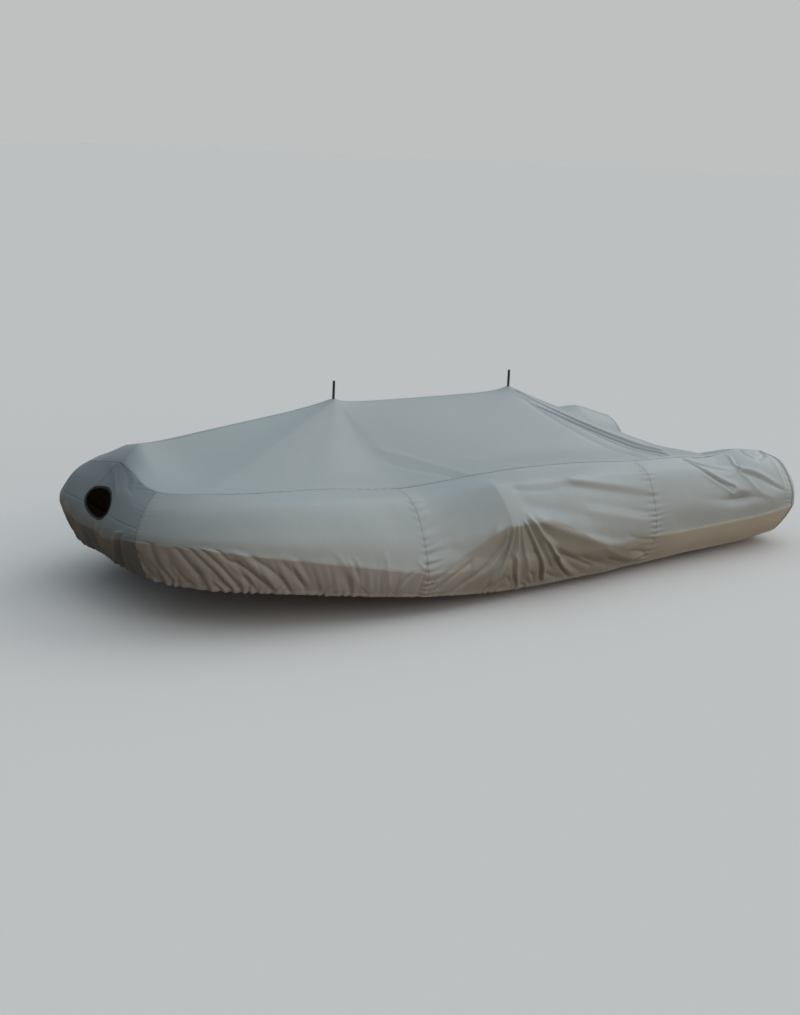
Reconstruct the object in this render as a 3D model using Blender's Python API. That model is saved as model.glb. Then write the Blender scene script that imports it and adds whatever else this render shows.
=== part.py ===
"""Fitted boat cover with the two poles that lift its top.

The cover is sewn from coated cloth. A tent-shaped top is lifted by two poles and ends at a
seam that runs round both sides. Below it a band of side panels is rounded out over each side
and ends in an elastic hem, two socks stand out past the stern, and a cap with a bound hand
hole closes the bow. All is in metres: +X runs to the stern, -Y to port and +Z up. The
measures below count from the middle of the cover's length at the height of the hem, and the
finished part is moved so that ORIGIN becomes zero.
"""
import math

import bmesh
import bpy
import numpy as np

# The origin of the finished part: on the centre plane, just under the ridge between the poles.
ORIGIN = (-0.100, 0.0, 0.806)

# ---- cloth -----------------------------------------------------------------------------
CLOTH = 0.002            # thickness of the coated cloth with its seams
SEAM_INSET = 0.0014      # each panel ends this far from the seam line
STERN_INSET = 0.005      # the same for the panel that hangs between the socks
BINDING_WIDTH = 0.014    # bound edge of the hand hole
BINDING_THICK = 0.0045
BINDING_GAP = 0.0006

# ---- plan of the two rounded sides -----------------------------------------------------
HALF_SPAN = 0.655        # from the centre plane to the centre line of a straight side
STRAIGHT_X = -0.195      # forward of this the sides curve in towards the bow
NOSE_X = -1.754          # where their centre line crosses the centre plane
BOW_ALONG = 1.71         # exponents of the rounded bow in plan, along and across the boat
BOW_ACROSS = 3.69
SIDE_HEIGHT = 0.245      # centre line of the straight sides
SHEER_X = -0.155         # the bow rises forward of this
SHEER_RISE = 0.167       # rise in the first two metres
SHEER_POWER = 1.274
SOCK_RADIUS = 0.262
SOCK_NARROWS = (0.14, 0.20)    # the inner half narrows by this share to its end, port and starboard

# ---- seams, as stations: metres along the centre line of a side from the nose -----------
CAP_SEAM = 0.29
FORWARD_SEAM = 1.40
AFT_SEAM = 2.83
STERN_SEAM = 3.42        # here the top panel ends and the socks stand alone
SOCK_END = 3.93          # seam of the end cap
END_DOME = 0.10          # how far the end cap domes out past its seam

# ---- poles -----------------------------------------------------------------------------
POLE_X = (-0.668, 0.467)
POLE_NAMES = ("pole_forward", "pole_aft")
PEAK_HEIGHT = (0.842, 0.832)
TIP_REACH = 0.092        # how far a pole's tip stands out of the cloth
TIP_RADIUS = 0.0065
POLE_RADIUS = 0.0125
FOOT_RADIUS = 0.032
FOOT_HEIGHT = 0.014
POLE_FOOT_Z = -0.024     # the feet stand level with the lowest cloth
PEAK_HOLE = 0.0085       # radius of the hole that a tip passes through
RIDGE_SAG = 0.026        # sag of the ridge between the poles
RIDGE_ROUND = 0.035      # rounding of the ridge across the boat

# Cross sections of the side band: out and up from the centre line of the side, in metres.
SECTION_COLUMNS = ("station", "seam_out", "seam_up", "shoulder_out", "shoulder_up",
                   "side_out", "side_up", "crease_out", "crease_up", "hem_out", "hem_up")
SECTIONS = (
    (0.00, 0.053, 0.258, 0.118, 0.150, 0.178, 0.040, 0.188, -0.046, 0.132, -0.165),
    (0.14, 0.066, 0.236, 0.142, 0.154, 0.205, 0.050, 0.213, -0.038, 0.144, -0.168),
    (0.29, 0.106, 0.205, 0.190, 0.140, 0.246, 0.055, 0.255, 0.010, 0.171, -0.176),
    (0.45, 0.075, 0.212, 0.185, 0.160, 0.252, 0.070, 0.265, 0.018, 0.185, -0.185),
    (0.65, 0.040, 0.225, 0.165, 0.190, 0.248, 0.080, 0.268, 0.000, 0.195, -0.183),
    (1.00, -0.010, 0.246, 0.130, 0.212, 0.236, 0.085, 0.268, -0.036, 0.215, -0.190),
    (1.40, -0.050, 0.240, 0.090, 0.212, 0.210, 0.070, 0.265, -0.085, 0.235, -0.205),
    (1.90, -0.010, 0.310, 0.125, 0.235, 0.225, 0.090, 0.262, -0.075, 0.205, -0.225),
    (2.40, 0.020, 0.316, 0.140, 0.250, 0.235, 0.100, 0.260, -0.070, 0.200, -0.228),
    (2.83, 0.060, 0.296, 0.165, 0.238, 0.240, 0.085, 0.258, -0.066, 0.165, -0.230),
    (3.20, 0.050, 0.278, 0.165, 0.217, 0.245, 0.080, 0.252, -0.066, 0.150, -0.226),
    (3.45, 0.030, 0.252, 0.160, 0.203, 0.248, 0.074, 0.254, -0.060, 0.147, -0.223),
    (3.70, -0.015, 0.262, 0.148, 0.216, 0.248, 0.070, 0.254, -0.052, 0.142, -0.216),
    (3.93, -0.020, 0.230, 0.130, 0.195, 0.225, 0.073, 0.240, -0.035, 0.130, -0.200),
)
DROP_KNOTS = np.linspace(0.0, 1.0, 5)    # seam, shoulder, side, crease, hem
PANEL_DROPS = np.array([0, 0.10, 0.215, 0.31, 0.41, 0.50, 0.60, 0.69, 0.75, 0.83, 0.91, 1.0])
CREASE_COLUMNS = ("station", "crispness")
CREASE = ((0.0, 0.0), (0.20, 0.6), (0.30, 1.0), (1.45, 1.0), (1.65, 0.2), (2.70, 0.3),
          (2.86, 1.0), (3.93, 1.0))
CREASE_SWELL = 0.008                     # the cloth below the crease bows out this far
STARBOARD_LIFT_COLUMNS = ("station", "lift")
STARBOARD_LIFT = ((0.0, 0.0), (3.20, 0.0), (3.45, 0.026), (3.68, 0.026), (3.93, -0.014))
CAP_SPLIT = 0.455                        # drop of the bow cap's level seam
GIRTH = 0.62                             # mean length of the band from seam to hem

# ---- hand hole in the bow cap ----------------------------------------------------------
HOLE_STATION = -0.012
HOLE_DROP = 0.407
HOLE_HALF_STATION = 0.112
HOLE_HALF_DROP = 0.134
HOLE_TAPER = 0.06        # narrower below than above
HOLE_TILT = -0.013       # drop of its starboard end below its middle
HOLE_STEPS = 32

# ---- gathers above the elastic hem -----------------------------------------------------
GATHER_PITCH = 0.086
GATHER_HEIGHT = 0.0100
GATHER_START = 0.70      # drop at which they begin
GATHER_FULL = 0.84       # drop at which they are deepest
GATHER_DRAWN = 0.65      # the elastic flattens them by this share at the hem
GATHER_COLUMNS = ("station", "strength", "lean")    # lean: metres aft from start to hem
GATHERS = ((0.0, 0.75, 0.0), (0.30, 0.9, 0.06), (0.45, 1.0, 0.12), (0.75, 1.0, 0.13), (0.95, 1.0, 0.07),
           (1.15, 1.0, 0.0), (1.35, 0.55, -0.06), (1.50, 0.6, -0.12), (1.62, 0.1, -0.14), (2.30, 0.1, 0.06),
           (2.45, 0.35, 0.10), (2.75, 0.3, 0.10), (2.95, 0.05, 0.05), (3.93, 0.0, 0.0))

# ---- the corner that stands out under the middle panel ---------------------------------
CORNER_EDGE = 1.825      # station of the upright edge, at the corner's top
CORNER_EDGE_LEAN = 0.075
CORNER_TOP = 0.222       # drop of the upper edge at the corner, and how fast it falls to the stern
CORNER_TOP_FALL = 0.080
CORNER_LOW = 0.498       # drop of the lower edge, level to CORNER_LOW_END and then falling
CORNER_LOW_END = 2.02
CORNER_LOW_FALL = 0.46
CORNER_FAR = (2.32, 0.55)    # where the upper edge ends, and the share of the height left there
CORNER_HEIGHT = 0.060
CORNER_REACH = (0.36, 0.145, 0.125, 0.52)    # the cloth is lifted so far ahead, above, below, behind
CORNER_HOLLOW = 1.45     # how hollow the cloth lies round the corner
STARBOARD_CORNER = 0.45  # the corner on starboard stands out by this share

# Ridges, and troughs where the height is below zero, each a line between two places.
FOLD_COLUMNS = ("station", "drop", "end_station", "end_drop", "height", "end_height", "width")
PORT_FOLDS = (
    # the fan below the corner
    (1.763, 0.512, 1.709, 0.730, 0.005, 0.006, 0.026),
    (1.812, 0.520, 1.710, 0.740, -0.010, -0.010, 0.026),
    (1.710, 0.740, 1.550, 0.953, -0.008, -0.008, 0.028),
    (1.848, 0.518, 1.767, 0.875, 0.012, 0.014, 0.026),
    (1.864, 0.600, 1.860, 0.920, -0.009, -0.012, 0.026),
    (1.885, 0.600, 1.949, 0.964, 0.007, 0.011, 0.026),
    (1.910, 0.501, 2.005, 0.686, -0.010, -0.013, 0.026),
    (2.005, 0.686, 2.073, 0.930, -0.018, -0.016, 0.028),
    (1.920, 0.499, 2.095, 0.926, 0.013, 0.016, 0.024),
    (1.939, 0.495, 2.117, 0.829, -0.010, -0.013, 0.026),
    (1.960, 0.481, 2.132, 0.737, 0.016, 0.018, 0.026),
    (2.132, 0.737, 2.310, 0.951, 0.016, 0.010, 0.030),
    (2.065, 0.642, 2.270, 0.967, -0.010, -0.014, 0.028),
    (2.127, 0.707, 2.402, 0.898, -0.012, -0.012, 0.030),
    (2.150, 0.700, 2.430, 1.000, -0.008, -0.008, 0.034),
    # slack cloth between the corner and the second side seam
    (2.300, 0.262, 2.790, 0.362, 0.014, 0.005, 0.028),
    (2.300, 0.300, 2.800, 0.415, -0.014, -0.006, 0.030),
    (1.985, 0.380, 2.330, 0.505, -0.006, -0.006, 0.036),
    (1.960, 0.455, 2.300, 0.600, 0.008, 0.006, 0.036),
    (2.100, 0.540, 2.680, 0.760, -0.010, -0.006, 0.038),
    (2.025, 0.505, 2.660, 0.790, 0.013, 0.007, 0.034),
    (2.220, 0.760, 2.660, 0.980, -0.010, -0.008, 0.032),
    # pull from the aft pole carried on over the port sock
    (3.197, 0.060, 3.442, 0.257, -0.014, -0.005, 0.026),
    (3.209, 0.111, 3.440, 0.407, -0.010, -0.015, 0.026),
    (3.270, 0.262, 3.444, 0.430, -0.004, -0.010, 0.026),
    (3.576, 0.089, 3.543, 0.260, 0.008, 0.012, 0.026),
    (3.552, 0.262, 3.837, 0.473, 0.015, 0.004, 0.028),
    (3.558, 0.300, 3.827, 0.493, -0.017, -0.008, 0.030),
    (3.422, 0.467, 3.543, 0.457, 0.006, 0.004, 0.028),
    (3.240, 0.480, 3.491, 0.510, -0.004, -0.011, 0.034),
    (3.458, 0.515, 3.660, 0.535, -0.011, -0.004, 0.034),
    (3.770, 0.006, 3.880, 0.066, -0.006, -0.008, 0.028),
    (3.693, 0.111, 3.757, 0.211, -0.004, -0.005, 0.028),
)
STARBOARD_FOLDS = (
    (1.75, 0.62, 1.640, 1.00, 0.006, 0.012, 0.035),
    (1.84, 0.60, 1.780, 1.00, -0.008, -0.014, 0.035),
    (1.93, 0.58, 1.930, 1.00, 0.010, 0.014, 0.035),
    (2.02, 0.60, 2.080, 1.00, -0.008, -0.012, 0.035),
    (2.11, 0.62, 2.230, 1.00, 0.006, 0.010, 0.038),
    (2.220, 0.300, 2.700, 0.420, 0.008, 0.003, 0.045),
    (3.100, 0.030, 3.440, 0.260, -0.012, -0.010, 0.034),
    (3.140, 0.130, 3.480, 0.400, 0.009, 0.006, 0.034),
    (3.560, 0.280, 3.830, 0.440, -0.011, -0.006, 0.036),
    (3.640, 0.080, 3.880, 0.160, -0.010, -0.004, 0.034),
)
CAP_FOLDS = (
    (0.030, 0.050, 0.078, 0.240, 0.006, 0.004, 0.026),
    (-0.225, 0.608, -0.105, 0.960, 0.008, 0.006, 0.024),
    (-0.240, 0.638, -0.195, 0.877, -0.010, -0.008, 0.026),
    (-0.251, 0.759, -0.192, 0.965, -0.008, -0.008, 0.026),
    (0.195, 0.551, 0.167, 0.842, -0.004, -0.004, 0.028),
    (0.093, 0.570, 0.072, 0.833, 0.003, 0.003, 0.034),
)

# ---- top panel -------------------------------------------------------------------------
AFT_CENTRE = (1.325, 0.470)   # x and height where the top's aft edge crosses the centre plane
AFT_EDGE_COLUMNS = 5
STERN_RISE = 0.009            # the aft edge rises this far over each side
TOP_COLUMNS = ((0.0, CAP_SEAM, 7), (CAP_SEAM, 1.30, 11), (1.30, 2.60, 9), (2.60, STERN_SEAM, 16))
PANEL_ROWS = (0.0, 0.05, 0.14, 0.28, 0.45, 0.62, 0.78, 0.87, 0.925, 0.97, 1.0)
BROW_COLUMNS = ("station", "brow")    # how far the top stands above the seam before it turns down
BROW_PORT = ((0.0, 0.074), (0.06, 0.052), (0.14, 0.024), (0.22, 0.008), (0.32, 0.0), (3.5, 0.0))
BROW_STARBOARD = ((0.0, 0.074), (0.15, 0.060), (0.24, 0.030), (0.32, 0.010), (0.45, 0.0), (3.5, 0.0))
BROW_START = 0.925       # share of the way from pole to seam at which the brow turns down
SAG_COLUMNS = ("station", "sag")
SAG = ((0.0, 0.0), (0.5, 0.003), (1.4, 0.004), (2.3, 0.005), (2.9, 0.012), (3.42, 0.020), (4.2, 0.020))
PEAK_DROP = 0.022        # the cloth falls this much close round a pole
PEAK_REACH = 0.055
TOP_FOLD_COLUMNS = ("x", "out", "end_x", "end_out", "height", "end_height", "width")
TOP_FOLDS = (
    (0.48, 0.040, 1.03, 0.62, -0.011, -0.026, 0.034),
    (0.56, 0.240, 1.02, 0.67, -0.006, -0.012, 0.034),
    (0.52, 0.060, 1.18, 0.59, 0.009, 0.013, 0.036),
    (0.50, 0.130, 0.79, 0.64, -0.006, -0.007, 0.040),
    (0.54, 0.040, 1.24, 0.52, -0.008, -0.016, 0.040),
    (-0.72, 0.03, -1.55, 0.42, 0.004, 0.003, 0.040),
    (-0.70, 0.05, -1.20, 0.50, -0.003, -0.003, 0.050),
    (-0.60, 0.34, -0.26, 0.58, 0.005, 0.003, 0.028),
)

# ---- colours ---------------------------------------------------------------------------
CLOTH_COLOUR = (0.275, 0.315, 0.322, 1.0)
CAP_COLOUR = (0.235, 0.275, 0.285, 1.0)
BINDING_COLOUR = (0.012, 0.013, 0.014, 1.0)
POLE_COLOUR = (0.020, 0.021, 0.023, 1.0)


def smooth(knots, values, at):
    """Cubic curve through the values at the knots, read at each place in at."""
    knots = np.asarray(knots, float)
    values = np.asarray(values, float)
    slopes = np.gradient(values, knots, axis=0)
    at = np.clip(at, knots[0], knots[-1])
    cell = np.clip(np.searchsorted(knots, at, side="right") - 1, 0, len(knots) - 2)
    width = knots[cell + 1] - knots[cell]
    t = (at - knots[cell]) / width
    extra = (None,) * (values.ndim - 1)
    t, width = t[(...,) + extra], width[(...,) + extra]
    start, end = values[cell], values[cell + 1]
    leave, arrive = slopes[cell] * width, slopes[cell + 1] * width
    return (start * (2 * t**3 - 3 * t**2 + 1) + leave * (t**3 - 2 * t**2 + t)
            + end * (3 * t**2 - 2 * t**3) + arrive * (t**3 - t**2))


def fade(low, high, value):
    """0 below low, 1 above high, and an even S between them."""
    t = np.clip((value - low) / (high - low), 0.0, 1.0)
    return t * t * (3.0 - 2.0 * t)


def column(table, index, at):
    """One column of a table, read along its first column."""
    return np.interp(at, [row[0] for row in table], [row[index] for row in table])


def bow_path():
    """Station, x and y of the port side's centre line, from the nose to the end of a sock."""
    turn = math.pi / 2 * np.linspace(0.0, 1.0, 600) ** 2
    x = STRAIGHT_X + (NOSE_X - STRAIGHT_X) * np.cos(turn) ** (2 / BOW_ALONG)
    y = -HALF_SPAN * np.sin(turn) ** (2 / BOW_ACROSS)
    x = np.append(x, STRAIGHT_X + 2.5)
    y = np.append(y, -HALF_SPAN)
    station = np.concatenate([[0.0], np.cumsum(np.hypot(np.diff(x), np.diff(y)))])
    return station, x, y


PATH_STATION, PATH_X, PATH_Y = bow_path()


def plan_point(station):
    """x and y of the centre line; before the nose it is its own mirror image."""
    y = np.interp(np.abs(station), PATH_STATION, PATH_Y) * np.where(station < 0, -1.0, 1.0)
    return np.stack([np.interp(np.abs(station), PATH_STATION, PATH_X), y], axis=-1)


def side_frame(station):
    """Centre of the side and the level direction out of it, at each station on port."""
    step = 0.02
    here = plan_point(station)
    along = plan_point(station + step) - plan_point(station - step)
    along /= np.linalg.norm(along, axis=-1, keepdims=True)
    rise = np.clip((SHEER_X - here[..., 0]) / 2.0, 0.0, None) ** SHEER_POWER
    centre = np.stack([here[..., 0], here[..., 1], SIDE_HEIGHT + SHEER_RISE * rise], axis=-1)
    outward = np.stack([along[..., 1], -along[..., 0], 0 * rise], axis=-1)
    return centre, outward


def section(station):
    """The five measured points of the band's cross section at each station, out and up."""
    rows = smooth([row[0] for row in SECTIONS], [row[1:] for row in SECTIONS], np.abs(station))
    rows = rows.reshape(rows.shape[:-1] + (5, 2))
    lift = column(STARBOARD_LIFT, 1, np.maximum(station, 0.0))
    rows[..., 0, 1] += lift
    rows[..., 1, 1] += lift * 0.6
    return rows


def band_point(station, drop):
    """Point of the side band: signed station (port below zero), drop 0 at the seam, 1 at the hem."""
    station, drop = np.broadcast_arrays(np.asarray(station, float), np.asarray(drop, float))
    centre, outward = side_frame(np.abs(station))
    rows = section(station)
    rounded = smooth(DROP_KNOTS, np.eye(5), drop)
    # where the cloth has a crease it falls straight from the crease to the hem
    upper = smooth(DROP_KNOTS[:4], np.eye(5)[:4], np.minimum(drop, DROP_KNOTS[3]))
    below = np.clip((drop - DROP_KNOTS[3]) / (1 - DROP_KNOTS[3]), 0, 1)[..., None]
    broken = upper * (1 - below) + np.eye(5)[4] * below
    crisp = column(CREASE, 1, np.abs(station))[..., None]
    reach = np.einsum("...k,...kc->...c", broken * crisp + rounded * (1 - crisp), rows)
    swell = CREASE_SWELL * crisp[..., 0] * np.sin(math.pi * below[..., 0])
    point = centre + outward * (reach[..., :1] + 0.7 * swell[..., None])
    point[..., 2] += reach[..., 1] - 0.7 * swell
    point[..., 1] *= np.where(station > 0, -1.0, 1.0)
    return point


def creased(across, down, table, scale=1.0):
    """Height of ridges (and troughs, below zero), each a line between two places."""
    total = np.zeros(np.broadcast(across, down).shape)
    for start_a, start_d, end_a, end_d, start_height, end_height, width in table:
        run = np.array([end_a - start_a, (end_d - start_d) * scale])
        down_from = (down - start_d) * scale
        t = ((across - start_a) * run[0] + down_from * run[1]) / (run @ run)
        t = np.clip(t, 0.0, 1.0)
        away = np.hypot(across - start_a - t * run[0], down_from - t * run[1])
        total += (start_height + (end_height - start_height) * t) * np.exp(-(away / width) ** 2)
    return total


def corner_height(along, drop):
    """The corner under the cloth: a flat face with sharp edges, and the cloth stretched off them."""
    ahead_reach, above_reach, below_reach, behind_reach = CORNER_REACH
    far, far_share = CORNER_FAR
    edge = CORNER_EDGE + CORNER_EDGE_LEAN * (drop - CORNER_TOP)
    top = CORNER_TOP + CORNER_TOP_FALL * np.clip(along - CORNER_EDGE, 0.0, None)
    past = np.clip(along - CORNER_LOW_END, 0.0, None)
    low = CORNER_LOW + CORNER_LOW_FALL * past
    ahead = np.clip(edge - along, 0.0, None) / ahead_reach
    above = np.clip(top - drop, 0.0, None) * GIRTH / above_reach
    below = np.clip(drop - low, 0.0, None) * GIRTH / (below_reach + 0.25 * past)
    behind = np.clip(along - far, 0.0, None) / behind_reach
    away = np.clip(np.sqrt(ahead**2 + above**2 + below**2 + behind**2), 0.0, 1.0)
    level = 1 - (1 - far_share) * np.clip((along - edge) / (far - edge), 0.0, 1.0)
    return CORNER_HEIGHT * level * (1 - away) ** CORNER_HOLLOW


def fold_height(station, drop):
    """How far the cloth of the side band stands out of its plain shape."""
    port = station <= 0
    along = np.abs(station)
    fall = np.clip((drop - GATHER_START) / (1 - GATHER_START), 0.0, 1.0)
    lean = column(GATHERS, 2, along) * fall**1.2
    phase = 2 * math.pi * (along - lean) / GATHER_PITCH + 1.1 * np.sin(7.3 * along) + 2.0 * ~port
    wave = np.sin(phase) + 0.35 * np.sin(1.71 * phase + 0.6)
    depth = fade(GATHER_START, GATHER_FULL, drop) * (1 - GATHER_DRAWN * fade(0.88, 1.0, drop))
    height = GATHER_HEIGHT * wave * depth * column(GATHERS, 1, along)
    height = height + corner_height(along, drop) * np.where(port, 1.0, STARBOARD_CORNER)
    side = np.where(port, creased(along, drop, PORT_FOLDS, GIRTH),
                    creased(along, drop, STARBOARD_FOLDS, GIRTH))
    height = height + side + creased(station, drop, CAP_FOLDS, GIRTH)
    return height * fade(0.0, 0.04, drop) * (1 - fade(SOCK_END - 0.05, SOCK_END, along))


def folded_point(station, drop):
    """Point of the side band with its folds."""
    station, drop = np.broadcast_arrays(np.asarray(station, float), np.asarray(drop, float))
    step = 0.006
    across = band_point(station + step, drop) - band_point(station - step, drop)
    down = band_point(station, np.minimum(drop + step, 1)) - band_point(station, np.maximum(drop - step, 0))
    normal = np.cross(across, down)
    normal /= np.linalg.norm(normal, axis=-1, keepdims=True)
    return band_point(station, drop) + normal * fold_height(station, drop)[..., None]


def grid_faces(rows, columns):
    """Quads of a grid whose points are numbered row by row."""
    return [(r * columns + c, r * columns + c + 1, (r + 1) * columns + c + 1, (r + 1) * columns + c)
            for r in range(rows - 1) for c in range(columns - 1)]


def inset(points, sides, by=SEAM_INSET):
    """Draws the named edges of a grid in from the seam lines that they meet."""
    points = points.copy()
    edges = {"top": (0, 1, 0), "bottom": (-1, -2, 0), "left": (0, 1, 1), "right": (-1, -2, 1)}
    for name in sides:
        edge, inner, axis = edges[name]
        move = points.take(inner, axis) - points.take(edge, axis)
        move *= by / np.maximum(np.linalg.norm(move, axis=-1, keepdims=True), 1e-9)
        if axis == 0:
            points[edge] += move
        else:
            points[:, edge] += move
    return points


def placed(name, mesh):
    """An object of this mesh, set so that ORIGIN lies at zero."""
    obj = bpy.data.objects.new(name, mesh)
    obj.location = [-value for value in ORIGIN]
    bpy.context.scene.collection.objects.link(obj)
    return obj


def cloth_object(name, points, faces, colour):
    """A sheet with its wall, half of it on each side of the given points."""
    mesh = bpy.data.meshes.new(name)
    mesh.from_pydata([tuple(p) for p in points], [], faces)
    mesh.validate()
    mesh.shade_smooth()
    mesh.materials.append(colour)
    obj = placed(name, mesh)
    wall = obj.modifiers.new("wall", "SOLIDIFY")
    wall.thickness = CLOTH
    wall.offset = 0.0
    return obj


def grid_object(name, points, sides, colour, by=SEAM_INSET):
    """A panel from a grid of points, drawn in at the named sides."""
    rows, columns = points.shape[:2]
    drawn = inset(points, sides, by)
    return cloth_object(name, drawn.reshape(-1, 3), grid_faces(rows, columns), colour)


def side_panel(name, stations, drops, colour, hem=True):
    """Panel of the side band between two stations and two drops."""
    points = folded_point(stations[None, :], drops[:, None])
    sides = ("top", "left", "right") if hem else ("top", "bottom", "left", "right")
    return grid_object(name, points, sides, colour)


def sock_inner_point(side, station, turn):
    """Point on the inner side of a sock, turn 0 at the top seam and 1 at the hem."""
    station, turn = np.broadcast_arrays(station, turn)
    centre, outward = side_frame(station)
    rows = section(side * station)
    seam, hem = np.moveaxis(rows[..., 0, :], -1, 0), np.moveaxis(rows[..., 4, :], -1, 0)
    start = np.arctan2(seam[1], seam[0])
    end = np.arctan2(hem[1], hem[0]) + 2 * math.pi
    angle = start + (end - start) * turn
    reach = np.hypot(*seam) * (1 - turn) + np.hypot(*hem) * turn
    narrow = 1 - SOCK_NARROWS[side > 0] * fade(SOCK_END - 0.45, SOCK_END, station)
    middle = SOCK_RADIUS * narrow * np.sin(math.pi * turn) + reach * (1 - np.sin(math.pi * turn))
    point = centre + outward * (middle * np.cos(angle))[..., None]
    point[..., 2] += middle * np.sin(angle)
    point[..., 1] *= -side
    return point


def top_outline():
    """Outer edge of the top's port half: along the seam, then across the stern to the centre."""
    seam = np.concatenate([np.linspace(start, end, count, endpoint=False)
                           for start, end, count in TOP_COLUMNS] + [[STERN_SEAM]])
    points = band_point(-seam, 0.0)
    across = np.linspace(0, 1, AFT_EDGE_COLUMNS + 1)[1:, None]
    corner = points[-1]
    centre = np.array([AFT_CENTRE[0], 0.0, AFT_CENTRE[1]])
    edge = corner + (centre - corner) * across
    over_side = STERN_RISE * np.sin(math.pi * np.clip(across[:, 0] / 0.3, 0, 1))
    edge[:, 2] = corner[2] + (centre[2] - corner[2]) * fade(0.0, 1.0, across[:, 0]) + over_side
    return np.concatenate([seam, STERN_SEAM + 0.1 * across[:, 0]]), np.concatenate([points, edge])


def top_inner(outline):
    """Inner end of each fan line of the top's port half: round a pole hole or on the ridge."""
    x = outline[:, 0]
    inner = np.zeros_like(outline)
    last = len(x) - AFT_EDGE_COLUMNS
    order = np.arange(len(x))
    first_ridge = int(np.searchsorted(np.where(order < last, x, 9.0), POLE_X[0] + 0.12))
    end_ridge = int(np.searchsorted(np.where(order < last, x, 9.0), POLE_X[1] - 0.12))
    for pole, span, start, end in ((0, slice(0, first_ridge), 180, 360),
                                   (1, slice(end_ridge, len(x)), 180, 360)):
        count = span.stop - span.start
        angle = np.radians(np.linspace(start, end, count))
        inner[span, 0] = POLE_X[pole] + PEAK_HOLE * np.cos(angle)
        inner[span, 1] = PEAK_HOLE * np.sin(angle) * (np.abs(np.sin(angle)) > 1e-9)
        inner[span, 2] = PEAK_HEIGHT[pole]
    share = np.linspace(0, 1, end_ridge - first_ridge + 2)[1:-1]
    inner[first_ridge:end_ridge, 0] = POLE_X[0] + (POLE_X[1] - POLE_X[0]) * share
    level = PEAK_HEIGHT[0] + (PEAK_HEIGHT[1] - PEAK_HEIGHT[0]) * share
    inner[first_ridge:end_ridge, 2] = level
    return inner


def top_surface(side):
    """Grid of one half of the top, as on port: a row for each share of the way from pole to seam."""
    station, outline = top_outline()
    inner = top_inner(outline)
    share = np.asarray(PANEL_ROWS)[:, None]
    points = inner + (outline - inner) * share[..., None]
    brow = column(BROW_PORT if side < 0 else BROW_STARBOARD, 1, station)
    turned = np.clip((share - BROW_START) / (1 - BROW_START), 0, 1)
    rounded = (np.sqrt(share**2 + RIDGE_ROUND**2) - RIDGE_ROUND) / (math.hypot(1, RIDGE_ROUND) - RIDGE_ROUND)
    height = inner[:, 2] + (outline[:, 2] + brow - inner[:, 2]) * rounded
    height = height - brow * turned**1.3
    height = height - column(SAG, 1, station) * np.sin(math.pi * share**1.5)
    points[..., 2] = height
    # close round each pole the cloth falls quickly, and between the poles the ridge sags
    near = np.minimum(*(np.hypot(points[..., 0] - x, points[..., 1]) - PEAK_HOLE for x in POLE_X))
    inside = 1 - fade(0.75, 1.0, share)
    points[..., 2] -= PEAK_DROP * (1 - np.exp(-np.clip(near, 0, None) / PEAK_REACH)) * inside
    between = np.clip((points[..., 0] - POLE_X[0]) / (POLE_X[1] - POLE_X[0]), 0, 1)
    points[..., 2] -= (RIDGE_SAG - PEAK_DROP) * np.sin(math.pi * between) * (1 - share) ** 2
    return points


def top_half(side):
    """The top's half on one side, with its folds."""
    points = top_surface(side)
    share = np.asarray(PANEL_ROWS)[:, None]
    out = -points[..., 1]
    calm = fade(0.0, 0.09, out) * (1 - fade(0.93, 1.0, share))
    strength = 1.0 if side < 0 else 0.8
    points[..., 2] += creased(points[..., 0], out, TOP_FOLDS) * calm * strength
    points = inset(points, ("bottom",))
    points[:, -AFT_EDGE_COLUMNS - 1:, 0] -= SEAM_INSET * fade(0.9, 1.0, share)
    points[..., 1] *= -side
    return points


def build_top(colour):
    """The tent-shaped top: two halves sewn as one cloth, with a hole for each pole's tip."""
    work = bmesh.new()
    for side in (-1, 1):
        points = top_half(side)
        rows, columns = points.shape[:2]
        made = [work.verts.new(p) for p in points.reshape(-1, 3)]
        for face in grid_faces(rows, columns):
            corners = [made[i] for i in face]
            work.faces.new(corners if side < 0 else corners[::-1])
    bmesh.ops.remove_doubles(work, verts=work.verts, dist=2e-5)
    work.verts.index_update()
    points = [v.co.copy() for v in work.verts]
    faces = [[v.index for v in face.verts] for face in work.faces]
    work.free()
    return cloth_object("top_panel", points, faces, colour)


def hole_loop(grow):
    """Outline of the hand hole on the bow cap, grown outwards by this many metres."""
    turn = np.linspace(0, 2 * math.pi, HOLE_STEPS, endpoint=False)
    width = HOLE_HALF_STATION * (1 - HOLE_TAPER * np.sin(turn)) + grow / 1.25
    station = HOLE_STATION + width * np.cos(turn)
    drop = HOLE_DROP + (HOLE_HALF_DROP + grow / 0.5) * np.sin(turn) + HOLE_TILT * np.cos(turn)
    return station, drop


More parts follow.
